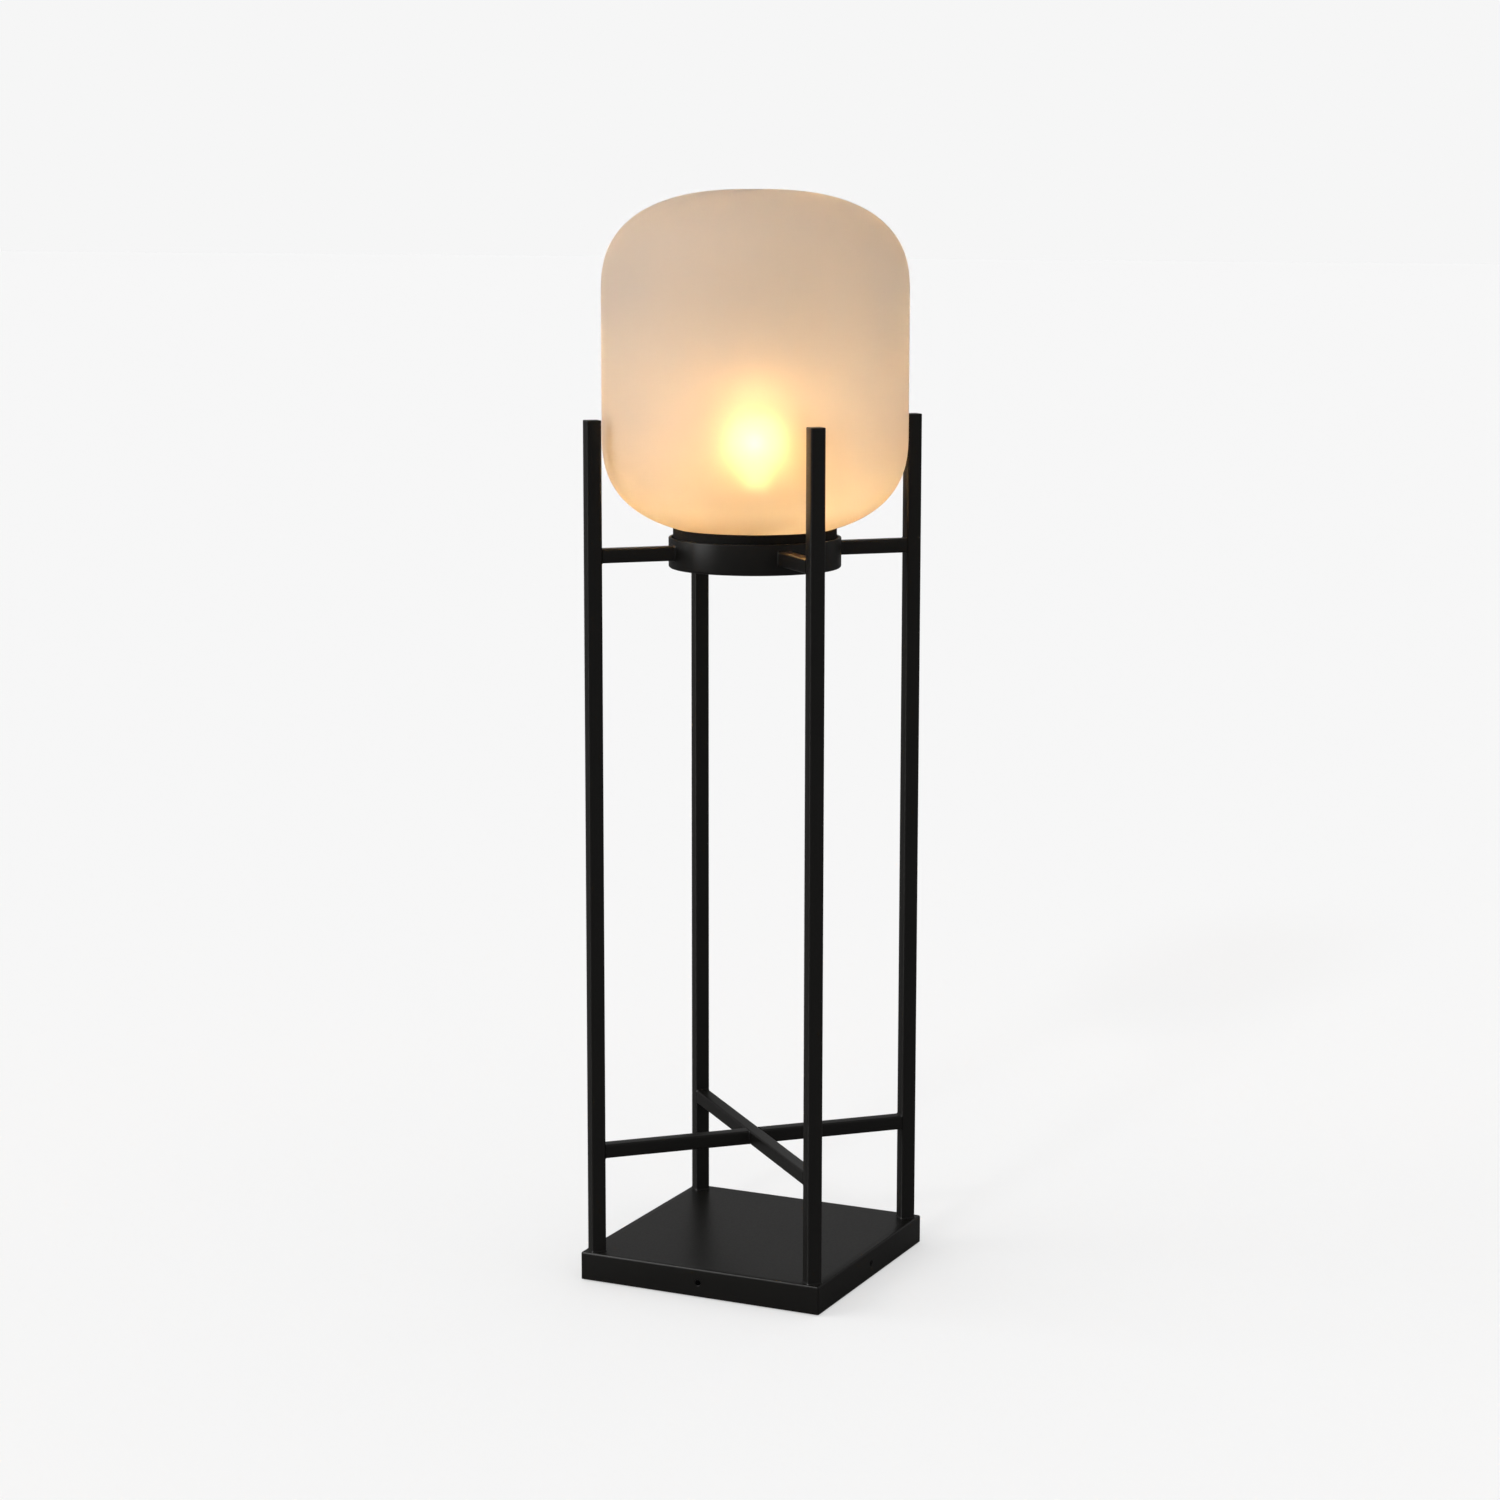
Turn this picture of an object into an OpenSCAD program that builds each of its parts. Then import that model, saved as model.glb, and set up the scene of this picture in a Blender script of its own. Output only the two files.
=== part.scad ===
// Lantern floor lamp: a frosted glass barrel standing on a collar between four square posts.
// The origin lies on the floor under the lamp's axis, +Z is up, and -Y is the front.

/* [Glass shade] */
// Outer diameter of the glass barrel
shade_d = 300; // [270:2:330]
// Height of the barrel between its two flat ends
shade_h = 336; // [300:2:380]
// Height over which each end of the barrel rounds in
shade_round_h = 100; // [85:1:120]
// Squareness of the rounding, where 2 is an ellipse
shade_power = 2.55; // [2.3:0.05:2.9]
// Thickness of the glass
glass_t = 3; // [2.5:0.1:4]
// Diameter of the opening in the barrel's underside
opening_d = 124; // [114:1:130]
// Height of the barrel's lower flat end above the collar's top edge
shade_stand = 1; // [0:0.5:4]
// Gap between the glass and each post
shade_gap = 9.1; // [5:0.1:14]

/* [Posts and arms] */
// Side of the square post tube
post_w = 15; // [14:0.5:20]
// Wall of the post tube
post_wall = 1.2; // [1:0.1:1.5]
// Outer corner radius of all the square tubes
tube_corner_r = 2; // [1.8:0.1:2.6]
// Height of the post tops above the base
post_rise = 828; // [760:1:940]
// Thickness of the cap that closes each post
post_cap_t = 1.5; // [1:0.5:4]
// Side of the square arm and brace tube
arm_w = 14; // [11:0.5:14]
// Wall of the arm and brace tube
arm_wall = 1.2; // [1:0.1:1.5]
// Depth of the arms' centre line below the collar's top edge
arm_drop = 13.5; // [12:0.5:16]
// Height of the lower cross's centre line above the base
brace_rise = 102.5; // [60:0.5:240]

/* [Collar] */
// Outer diameter of the collar
collar_d = 170; // [162:1:180]
// Height of the collar
collar_h = 30; // [26:1:40]
// Thickness of the collar band
collar_t = 3; // [2:0.5:3.5]
// Radius of the collar's lower outer edge
collar_edge_r = 2.5; // [1:0.5:2.5]
// Height of the collar's top edge above the base
collar_rise = 710.5; // [640:0.5:730]
// Depth of the holder disc's upper face below the collar's top edge
disc_drop = 5; // [4:0.5:5.5]
// Thickness of the holder disc
disc_t = 2; // [1.5:0.5:2.5]
// Thickness of the cover under the collar
under_cover_t = 1.5; // [1:0.5:2.5]
// Depth of the under cover inside the collar's lower edge
under_cover_recess = 2.5; // [2:0.5:3]
// Sheet thickness of the ring that carries the glass
gallery_t = 2; // [1.5:0.25:2.5]
// Gap between that ring and the collar
gallery_gap = 2.5; // [2:0.25:4]
// Thickness of the soft gasket at its inner edge
gasket_t = 3; // [2:0.5:3.5]
// Thickness of the gasket's hanging lip
gasket_lip_t = 1; // [0.8:0.1:1.2]

/* [Base] */
// Height of the base cover
base_h = 28; // [26:1:40]
// Sheet thickness of the base cover
base_t = 1.5; // [1:0.25:1.75]
// Outer radius of the cover's folds and corners
base_fold_r = 2; // [1.8:0.1:3]
// Distance from each post's outer edge to the base's edge
post_edge_gap = 2.4; // [1.5:0.1:12]
// Gap between the floor and the cover's lower edge
rim_gap = 1.5; // [1:0.25:2.5]
// Thickness of the steel ballast plate
ballast_t = 12; // [8:1:14]
// Gap between the ballast plate and the cover's skirt
ballast_gap = 2.5; // [2:0.25:4]
// Side of the ballast's cut-away corner, where the wiring lies
wiring_bay = 101; // [95:1:110]
// Sheet thickness of the floor tray
tray_t = 1.5; // [1:0.25:2]
// Width of each of the tray's upright tabs
tab_w = 30; // [20:1:36]
// Diameter of the rubber feet
foot_d = 22; // [16:1:30]
// Thickness of the rubber feet
foot_h = 3; // [2.75:0.25:4]
// Distance from the base's edge to the middle of each foot
foot_inset = 30; // [20:1:45]
// Diameter of the cord's hole through the inlet bush
inlet_d = 7.2; // [6:0.2:9]
// Distance of the inlet bush from the base's left side
inlet_from_side = 90; // [60:1:94]

/* [Lampholder and bulb] */
// Outer diameter of the lampholder
holder_d = 41; // [38:1:46]
// Height of the lampholder's lower cup
holder_base_h = 21; // [20:1:24]
// Height of the lampholder's upper sleeve
holder_sleeve_h = 34; // [30:1:38]
// Largest diameter of the bulb
bulb_d = 60; // [55:1:62]
// Height of the bulb from its contact to its top
bulb_h = 104; // [100:1:120]
// Thickness of the bulb's glass
bulb_glass_t = 1; // [0.8:0.1:1.5]

/* [Hidden] */
$fn = 96;

// Directions of the posts round the lamp's axis, in degrees from +X
back_right = 45;
back_left = 135;
front_left = 225;
front_right = 315;
posts = [front_left, front_right, back_right, back_left];
bolted_posts = [front_left, front_right, back_right];
wired_post = back_left;

// Clearances
weld_gap = 0.1;
slide_gap = 0.3;
screw_gap = 0.05;
hole_gap = 0.3;

// Standard screws: shank radius, head radius, head height
m3 = [1.5, 2.8, 1.8];
m6 = [3, 5, 6];
tube_thread_r = 5;
tube_bore_r = 3.9;
tube_washer_r = 9;
nut_af = 14;
nut_t = 3;
washer_t = 1.6;

// Plan of the posts and the base, from the glass outwards
shade_r = shade_d / 2;
post_inner = shade_r + shade_gap;
post_diag = post_inner + post_w / 2;
post_bore_w = post_w - 2 * post_wall;
bore_corner_r = tube_corner_r - post_wall;
plug_w = post_bore_w - 2 * weld_gap;
post_reach = (post_w / 2 - tube_corner_r) * sqrt(2) + tube_corner_r;
base_w = 2 * (post_diag / sqrt(2) + post_reach + post_edge_gap);
skirt_in = base_w / 2 - base_t;

// Heights of the base
base_top = rim_gap + base_h;
ballast_top = base_top - base_t;
ballast_low = ballast_top - ballast_t;
ballast_half = skirt_in - ballast_gap;
bay_edge = ballast_half - wiring_bay;
tray_top = foot_h + tray_t;
tray_half = skirt_in - weld_gap * 2;
skirt_mid = rim_gap + base_h / 2;
tab_top = skirt_mid + 6.5;
foot_xy = base_w / 2 - foot_inset;
foot_peg_r = 3;
inlet_body_r = inlet_d / 2 + 1.8;
inlet_flange_r = inlet_body_r + 2;
inlet_l = 8;
inlet_x = inlet_from_side - base_w / 2;

// Fastenings in the posts' feet
insert_h = 15;
bolt_l = 25;
wire_nut_top = ballast_top - washer_t;
wire_nipple_low = wire_nut_top - nut_t - 1;

// Heights of the collar
collar_r = collar_d / 2;
collar_in = collar_r - collar_t;
collar_top = base_top + collar_rise;
collar_low = collar_top - collar_h;
arm_z = collar_top - arm_drop;
disc_top = collar_top - disc_drop;
disc_low = disc_top - disc_t;
under_cover_low = collar_low + under_cover_recess;
under_cover_top = under_cover_low + under_cover_t;
wire_hole_r = 4.5;
brace_z = base_top + brace_rise;

// Glass barrel and the ring under it
shade_low = collar_top + shade_stand;
shade_top = shade_low + shade_h;
opening_r = opening_d / 2;
guide_r = opening_r - 2.5;
screw_circle_r = opening_r + 2;
gallery_r = collar_in - gallery_gap;
seat_w = 11.5;
seat_gap = 1;
seat_in = max(gallery_r - seat_w, guide_r + seat_gap);
seat_top = shade_low + glass_rise(seat_in) - slide_gap - gasket_t;
round_steps = 20;

// Lampholder and bulb, from the holder disc upwards
holder_r = holder_d / 2;
cup_r = holder_r - 1;
cup_wall = 2;
neck_h = 4;
core_t = 6;
core_low = disc_top + holder_base_h - core_t;
core_top = core_low + core_t;
core_r = cup_r - cup_wall - 0.3;
sleeve_top = core_top + holder_sleeve_h;
tongue = [20, 8, 0.6];
contact_low = core_top + 1.5;
contact_h = 1.5;
insulator_low = contact_low + contact_h + weld_gap;
cap_low = contact_low + 4.5;
cap_h = 21;
cap_top = cap_low + cap_h;
cap_skirt_h = 6;
cap_r = 13.1;
cap_t = 0.5;
cap_skirt_r = 13.6;
shell_in = cap_r + 0.2;
shell_t = 0.6;
neck_r = cap_skirt_r - cap_t - weld_gap;
bulb_r = bulb_d / 2;
bulb_mid = contact_low + bulb_h - bulb_r;
neck_top = bulb_mid - bulb_r * 4 / 3;
stem_top = neck_top + 20;

// Terminal block in the base, on the wired post's diagonal
block = [18, 30, 16];
block_from_post = 62.6;
block_out = post_diag - block_from_post;
block_bore_r = 1.8;
block_bore_z = 5.5;
pole_pitch = 7;

// Insulated lead: distance from the lamp's axis towards the wired post, height, bend radius
lead_r = 2.5;
lead_sides = 8;
lead_step = 15;
lead_bend = 4 * lead_r;
lead_low = under_cover_top + lead_r + 1;
lead_high = arm_z + 2;
lead_out = post_diag + post_bore_w / 2 - lead_r - 0.4;
lead_end = tray_top + block_bore_z;
lead_route = [
    [0, core_low, 0], [0, lead_low, lead_bend], [collar_r - 35, lead_low, lead_bend],
    [collar_r + 10, lead_high, lead_bend], [lead_out, lead_high, lead_bend],
    [lead_out, lead_high - 28.5, lead_bend], [post_diag, lead_high - 88.5, lead_bend],
    [post_diag, lead_end, lead_bend], [block_out, lead_end, 0]
];

// ---------- shared shapes ----------

// Points along an arc from angle a to angle b
function arc(x, y, r, a, b, n) =
    [for (i = [0:n]) [x + r * cos(a + (b - a) * i / n), y + r * sin(a + (b - a) * i / n)]];

// Height of the glass's outer skin above the barrel's lower end, at a distance from the axis
function glass_rise(r) =
    shade_round_h * (1 - pow(1 - pow(r / shade_r, shade_power), 1 / shade_power));

// One rounded end of the barrel: its radius and its depth from the flat end, from r0 to the side
function barrel_end(radius, depth, r0) =
    let (first = acos(pow(r0 / radius, shade_power / 2)))
    [for (i = [0:round_steps])
        let (t = first * (1 - i / round_steps))
        [radius * pow(cos(t), 2 / shade_power), depth * (1 - pow(sin(t), 2 / shade_power))]];

function reversed(list) = [for (i = [len(list) - 1:-1:0]) list[i]];

module rounded_square(w, r) {
    square([w - 2 * r, w], center = true);
    square([w, w - 2 * r], center = true);
    for (x = [-1, 1], y = [-1, 1])
        translate([x * (w / 2 - r), y * (w / 2 - r)])
            circle(r);
}

module square_tube(w, wall, length) {
    linear_extrude(length)
        difference() {
            rounded_square(w, tube_corner_r);
            rounded_square(w - 2 * wall, tube_corner_r - wall);
        }
}

module ring(r_out, r_in, h) {
    difference() {
        cylinder(h, r_out, r_out);
        translate([0, 0, -1])
            cylinder(h + 2, r_in, r_in);
    }
}

// Hexagon nut with its hole, standing on z = 0
module hex_nut(af, bore_r, h) {
    difference() {
        cylinder(h, af / sqrt(3), af / sqrt(3), $fn = 6);
        translate([0, 0, -1])
            cylinder(h + 2, bore_r, bore_r);
    }
}

// Screw with its head's underside on z = 0 and its shank going up
module screw(size, length, socket_r) {
    difference() {
        union() {
            translate([0, 0, -size[2]])
                cylinder(size[2], size[1], size[1]);
            cylinder(length, size[0], size[0]);
        }
        translate([0, 0, -size[2] - 1])
            cylinder(size[2] / 2 + 1, socket_r, socket_r, $fn = 6);
    }
}

// Children at a post, where x points away from the lamp's axis
module at_post(angle) {
    rotate([0, 0, angle])
        translate([post_diag, 0, 0])
            children();
}

// Children at each of the three fastening points of the collar
module at_collar_screws() {
    for (a = [wired_post + 60, wired_post + 180, wired_post + 300])
        rotate([0, 0, a])
            translate([screw_circle_r, 0, 0])
                children();
}

// ---------- base ----------

module top_rounded_profile(w, h, r) {
    translate([-w / 2, 0])
        square([w, h - r]);
    translate([-w / 2 + r, 0])
        square([w - 2 * r, h]);
    for (x = [-1, 1])
        translate([x * (w / 2 - r), h - r])
            circle(r);
}

module folded_box(w, h, r) {
    intersection() {
        linear_extrude(h)
            rounded_square(w, r);
        rotate([90, 0, 0])
            linear_extrude(w + 2, center = true)
                top_rounded_profile(w, h, r);
        rotate([90, 0, 90])
            linear_extrude(w + 2, center = true)
                top_rounded_profile(w, h, r);
    }
}

module base_cover() {
    color("#1c1c1c")
        difference() {
            translate([0, 0, rim_gap])
                folded_box(base_w, base_h, base_fold_r);
            translate([0, 0, rim_gap - 1])
                folded_box(base_w - 2 * base_t, base_h + 1 - base_t, base_fold_r - base_t + 0.5);
            for (angle = bolted_posts)
                at_post(angle)
                    cylinder(base_top + 1, m6[0] + hole_gap, m6[0] + hole_gap);
            at_post(wired_post)
                cylinder(base_top + 1, tube_thread_r + hole_gap, tube_thread_r + hole_gap);
            for (a = [0:90:270])
                rotate([0, 0, a])
                    translate([skirt_in - 1, 0, skirt_mid])
                        rotate([0, 90, 0])
                            cylinder(base_t + 2, m3[1] + hole_gap, m3[1] + hole_gap);
            translate([inlet_x, skirt_in - 1, skirt_mid])
                rotate([-90, 0, 0])
                    cylinder(base_t + 2, inlet_body_r + weld_gap, inlet_body_r + weld_gap);
        }
}

module base_ballast() {
    color("#3a3a3c")
        difference() {
            translate([0, 0, ballast_low])
                linear_extrude(ballast_t)
                    rounded_square(2 * ballast_half, base_fold_r);
            translate([-ballast_half - 1, bay_edge, ballast_low - 1])
                cube([wiring_bay + 1, wiring_bay + 1, ballast_t + 2]);
            for (angle = bolted_posts)
                at_post(angle)
                    cylinder(base_top, m6[0] + hole_gap, m6[0] + hole_gap);
            for (a = [0:90:270])
                rotate([0, 0, a])
                    translate([ballast_half - 5, -m3[1] - 2, ballast_low - 1])
                        cube([6, 2 * m3[1] + 4, ballast_t + 2]);
        }
}

module base_tray() {
    color("#2a2a2a")
        difference() {
            union() {
                translate([0, 0, foot_h])
                    linear_extrude(tray_t)
                        rounded_square(2 * tray_half, base_fold_r);
                for (a = [0:90:270])
                    rotate([0, 0, a])
                        translate([tray_half - tray_t, -tab_w / 2, foot_h])
                            cube([tray_t, tab_w, tab_top - foot_h]);
            }
            for (x = [-1, 1], y = [-1, 1])
                translate([x * foot_xy, y * foot_xy, 0])
                    cylinder(tray_top + 1, foot_peg_r + weld_gap, foot_peg_r + weld_gap);
            for (a = [0:90:270])
                rotate([0, 0, a])
                    translate([tray_half - tray_t - 1, 0, skirt_mid])
                        rotate([0, 90, 0])
                            cylinder(tray_t + 2, m3[0] + screw_gap, m3[0] + screw_gap);
        }
}

// The heads fill the holes in the skirt and lock the cover to the tray's tabs
module tray_screws() {
    head_h = base_t;
    color("#6a6a6c")
        for (a = [0:90:270])
            rotate([0, 0, a])
                translate([tray_half, 0, skirt_mid])
                    rotate([0, -90, 0])
                        screw([m3[0], m3[1], head_h], 6, 1.15);
}

module rubber_feet() {
    color("#101010")
        for (x = [-1, 1], y = [-1, 1])
            translate([x * foot_xy, y * foot_xy, 0])
                rotate_extrude()
                    polygon([
                        [0, 0], [foot_d / 2 - 0.5, 0], [foot_d / 2, 0.5], [foot_d / 2, foot_h],
                        [foot_peg_r, foot_h], [foot_peg_r, tray_top],
                        [foot_peg_r + 1, tray_top], [foot_peg_r, tray_top + 2], [0, tray_top + 2]
                    ]);
}

// ---------- posts ----------

module post(angle) {
    color("#1a1a1a")
        difference() {
            at_post(angle)
                translate([0, 0, base_top])
                    square_tube(post_w, post_wall, post_rise - post_cap_t);
            if (angle == wired_post)
                rotate([0, 0, angle])
                    translate([post_inner - 1, -arm_w / 2 + arm_wall, arm_z - arm_w / 2 + arm_wall])
                        cube([post_wall + 2, arm_w - 2 * arm_wall, arm_w - 2 * arm_wall]);
        }
}

module post_caps() {
    color("#1d1d1d")
        for (angle = posts)
            at_post(angle) {
                translate([0, 0, base_top + post_rise - post_cap_t])
                    linear_extrude(post_cap_t)
                        rounded_square(post_w, tube_corner_r);
                translate([0, 0, base_top + post_rise - post_cap_t - 8])
                    linear_extrude(8)
                        rounded_square(plug_w, bore_corner_r);
            }
}

module foot_insert(angle, bore_r) {
    color("#77777a")
        at_post(angle)
            difference() {
                translate([0, 0, base_top])
                    linear_extrude(insert_h)
                        rounded_square(plug_w, bore_corner_r);
                translate([0, 0, base_top - 1])
                    cylinder(insert_h + 2, bore_r, bore_r);
            }
}

module foot_inserts() {
    for (angle = bolted_posts)
        foot_insert(angle, m6[0] + screw_gap);
}

module post_bolts() {
    color("#77777a")
        for (angle = bolted_posts)
            at_post(angle)
                translate([0, 0, ballast_low - washer_t])
                    screw(m6, bolt_l, 2.9);
}

module post_washers() {
    color("#8a8a8c")
        for (angle = bolted_posts)
            at_post(angle)
                translate([0, 0, ballast_low - washer_t])
                    ring(m6[0] * 2, m6[0] + hole_gap, washer_t);
}

module wire_foot_insert() {
    foot_insert(wired_post, tube_thread_r + screw_gap);
}

module wire_foot_nipple() {
    color("#b8a878")
        at_post(wired_post)
            translate([0, 0, wire_nipple_low])
                ring(tube_thread_r, tube_bore_r, base_top + insert_h - wire_nipple_low);
}

module wire_foot_washer() {
    color("#8a8a8c")
        at_post(wired_post)
            translate([0, 0, wire_nut_top])
                ring(tube_washer_r, tube_thread_r + hole_gap, washer_t);
}

module wire_foot_nut() {
    color("#8a8a8c")
        at_post(wired_post)
            translate([0, 0, wire_nut_top - nut_t])
                hex_nut(nut_af, tube_thread_r + screw_gap, nut_t);
}

// ---------- lower cross ----------

module level_tube(x0, x1, z) {
    translate([x0, 0, z])
        rotate([0, 90, 0])
            square_tube(arm_w, arm_wall, x1 - x0);
}

module brace_long() {
    color("#1a1a1a")
        rotate([0, 0, front_right])
            level_tube(-post_inner, post_inner, brace_z);
}

module brace_half(angle) {
    color("#1a1a1a")
        rotate([0, 0, angle])
            level_tube(arm_w / 2, post_inner, brace_z);
}

// ---------- collar ----------

// The arm's inner end is coped to the collar's round
module arm(angle) {
    color("#1a1a1a")
        rotate([0, 0, angle])
            difference() {
                level_tube(collar_r - 2, post_inner, arm_z);
                translate([0, 0, arm_z - arm_w])
                    cylinder(2 * arm_w, collar_r + weld_gap, collar_r + weld_gap);
            }
}

module collar_ring() {
    color("#1d1d1d")
        difference() {
            rotate_extrude()
                polygon(concat(
                    [[collar_in, collar_top], [collar_in, collar_low]],
                    arc(collar_r - collar_edge_r, collar_low + collar_edge_r, collar_edge_r, -90, 0, 6),
                    [[collar_r, collar_top - 0.5], [collar_r - 0.5, collar_top]]
                ));
            rotate([0, 0, wired_post])
                translate([collar_in - 1, 0, arm_z])
                    rotate([0, 90, 0])
                        cylinder(collar_t + 2, wire_hole_r, wire_hole_r);
        }
}

module holder_disc() {
    color("#1d1d1d")
        difference() {
            translate([0, 0, disc_low])
                ring(collar_in - weld_gap, tube_thread_r + hole_gap, disc_t);
            at_collar_screws()
                translate([0, 0, disc_low - 1])
                    cylinder(disc_t + 2, m3[0] + hole_gap, m3[0] + hole_gap);
        }
}

module collar_under_cover() {
    color("#1d1d1d")
        difference() {
            translate([0, 0, under_cover_low])
                cylinder(under_cover_t, collar_in - slide_gap, collar_in - slide_gap);
            at_collar_screws()
                translate([0, 0, under_cover_low - 1])
                    cylinder(under_cover_t + 2, m3[0] + hole_gap, m3[0] + hole_gap);
        }
}

module collar_standoffs() {
    color("#b8a878")
        at_collar_screws()
            translate([0, 0, under_cover_top])
                hex_nut(6, m3[0] + screw_gap, disc_low - under_cover_top);
}

module gallery_screws() {
    color("#8a8a8c")
        at_collar_screws()
            translate([0, 0, disc_top + gallery_t])
                mirror([0, 0, 1])
                    screw(m3, gallery_t + disc_t + 6, 1.15);
}

module cover_screws() {
    color("#6a6a6c")
        at_collar_screws()
            translate([0, 0, under_cover_low])
                screw(m3, under_cover_t + 5, 1.15);
}

// Folded ring: an inner rim that centres the glass, a floor on the disc and a seat for the gasket
module shade_gallery() {
    guide_top = shade_low + glass_rise(opening_r) + glass_t + 5;
    color("#161616")
        difference() {
            rotate_extrude()
                polygon([
                    [guide_r - gallery_t, disc_top], [gallery_r, disc_top], [gallery_r, seat_top],
                    [seat_in, seat_top], [seat_in, seat_top - gallery_t],
                    [gallery_r - gallery_t, seat_top - gallery_t],
                    [gallery_r - gallery_t, disc_top + gallery_t], [guide_r, disc_top + gallery_t],
                    [guide_r, guide_top], [guide_r - gallery_t, guide_top]
                ]);
            at_collar_screws()
                translate([0, 0, disc_top - 1])
                    cylinder(gallery_t + 2, m3[0] + hole_gap, m3[0] + hole_gap);
        }
}

// The gasket's upper face follows the glass, and its lip hangs over the gallery's edge
module shade_gasket() {
    lip_in = gallery_r + weld_gap;
    lip_r = lip_in + gasket_lip_t;
    top_face = [for (i = [8:-1:0])
        let (r = seat_in + (lip_r - seat_in) * i / 8)
        [r, shade_low + glass_rise(r) - slide_gap]];
    color("#0c0c0c")
        rotate_extrude()
            polygon(concat(
                [[seat_in, seat_top], [lip_in, seat_top], [lip_in, seat_top - 4], [lip_r, seat_top - 4]],
                top_face
            ));
}

module glass_shade() {
    outer = barrel_end(shade_r, shade_round_h, opening_r);
    outer_top = barrel_end(shade_r, shade_round_h, 0);
    inner = barrel_end(shade_r - glass_t, shade_round_h - glass_t, opening_r);
    inner_top = barrel_end(shade_r - glass_t, shade_round_h - glass_t, 0);
    color("#ecd3b0", 0.6)
        rotate_extrude()
            polygon(concat(
                [for (p = outer) [p[0], shade_low + p[1]]],
                [for (p = reversed(outer_top)) [p[0], shade_top - p[1]]],
                [for (p = inner_top) [p[0], shade_top - glass_t - p[1]]],
                [for (p = reversed(inner)) [p[0], shade_low + glass_t + p[1]]]
            ));
}

// ---------- lampholder ----------

module holder_nipple() {
    color("#b8a878")
        translate([0, 0, disc_low - washer_t - nut_t - 2])
            ring(tube_thread_r, tube_bore_r, disc_t + washer_t + nut_t + 2 + neck_h + cup_wall);
}

module holder_washer() {
    color("#8a8a8c")
        translate([0, 0, disc_low - washer_t])
            ring(tube_washer_r, tube_thread_r + hole_gap, washer_t);
}

module holder_nut() {
    color("#8a8a8c")
        translate([0, 0, disc_low - washer_t - nut_t])
            hex_nut(nut_af, tube_thread_r + screw_gap, nut_t);
}

module lampholder_cup() {
    bore_r = tube_thread_r + screw_gap;
    floor_low = disc_top + neck_h;
    color("#151515")
        rotate_extrude()
            polygon([
                [bore_r, disc_top], [bore_r + 4, disc_top], [bore_r + 4, floor_low],
                [cup_r - 1.5, floor_low], [cup_r, floor_low + 1.5], [cup_r, core_top],
                [cup_r - cup_wall, core_top], [cup_r - cup_wall, core_low],
                [cup_r - 2 * cup_wall, core_low], [cup_r - 2 * cup_wall, floor_low + cup_wall],
                [bore_r, floor_low + cup_wall]
            ]);
}

module lampholder_sleeve() {
    bore_r = cap_skirt_r + 2;
    color("#151515")
        rotate_extrude()
            polygon([
                [cup_r - cup_wall, core_top], [cup_r, core_top], [cup_r, core_top + 4],
                [holder_r, core_top + 5], [holder_r, sleeve_top - 1], [holder_r - 1, sleeve_top],
                [bore_r, sleeve_top], [bore_r, sleeve_top - 4], [cup_r - cup_wall, sleeve_top - 4]
            ]);
}

// Glazed core: a disc with two terminal holes from below
module lampholder_core() {
    color("#e8e2d2")
        difference() {
            translate([0, 0, core_low])
                cylinder(core_t, core_r, core_r);
            for (x = [-9, 9])
                translate([x, 0, core_low - 1])
                    cylinder(5.5, m3[0] + screw_gap, m3[0] + screw_gap);
        }
}

module lampholder_thread() {
    color("#c8a860")
        rotate_extrude()
            polygon([
                [shell_in, core_top], [shell_in + shell_t + 0.9, core_top],
                [shell_in + shell_t + 0.9, core_top + shell_t], [shell_in + shell_t, core_top + shell_t],
                [shell_in + shell_t, cap_top - 2], [shell_in, cap_top - 2]
            ]);
}

// Contact strip on the core, with its raised middle just under the bulb's contact
module lampholder_tongue() {
    color("#c8a860") {
        translate([-tongue[0] / 2, -tongue[1] / 2, core_top])
            cube(tongue);
        translate([0, 0, core_top])
            cylinder(contact_low - core_top - slide_gap, 3, 3);
    }
}

module lampholder_terminals() {
    color("#c8a860")
        for (x = [-9, 9])
            translate([x, 0, core_low])
                screw(m3, 4, 1.15);
}

// ---------- bulb ----------

// Pear outline from the neck to the crown, inset from the outer glass
function bulb_outline(inset, neck_low) =
    let (neck = neck_r - inset)
    let (ball = bulb_r - inset)
    let (drop = bulb_mid - neck_top)
    let (flare = (neck * neck + drop * drop - ball * ball) / (2 * (ball - neck)))
    let (angle = atan2(drop, neck + flare))
    concat(
        [[neck, neck_low]],
        arc(neck + flare, neck_top, flare, 180, 180 - angle, 8),
        [for (i = [1:24]) [ball * cos(-angle + (90 + angle) * i / 24),
                           bulb_mid + ball * sin(-angle + (90 + angle) * i / 24)]]
    );

module bulb_glass() {
    glass_low = cap_top + 1;
    color("#fff1cc")
        rotate_extrude()
            polygon(concat(
                bulb_outline(0, glass_low),
                reversed(bulb_outline(bulb_glass_t, glass_low))
            ));
}

module bulb_cap() {
    skirt_in_r = cap_skirt_r - cap_t;
    color("#b9b9bb")
        rotate_extrude()
            polygon([
                [cap_r - cap_t, cap_low], [cap_r, cap_low + 0.5], [cap_r, cap_top],
                [cap_skirt_r, cap_top], [cap_skirt_r, cap_top + cap_skirt_h],
                [skirt_in_r, cap_top + cap_skirt_h], [skirt_in_r, cap_top + cap_t],
                [cap_r - cap_t, cap_top + cap_t]
            ]);
}

module bulb_insulator() {
    color("#101012")
        translate([0, 0, insulator_low])
            cylinder(cap_low - insulator_low, 4.5, cap_r - cap_t / 2);
}

module bulb_contact() {
    color("#c9c9cc")
        translate([0, 0, contact_low])
            cylinder(contact_h, 3, 4);
}

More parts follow.
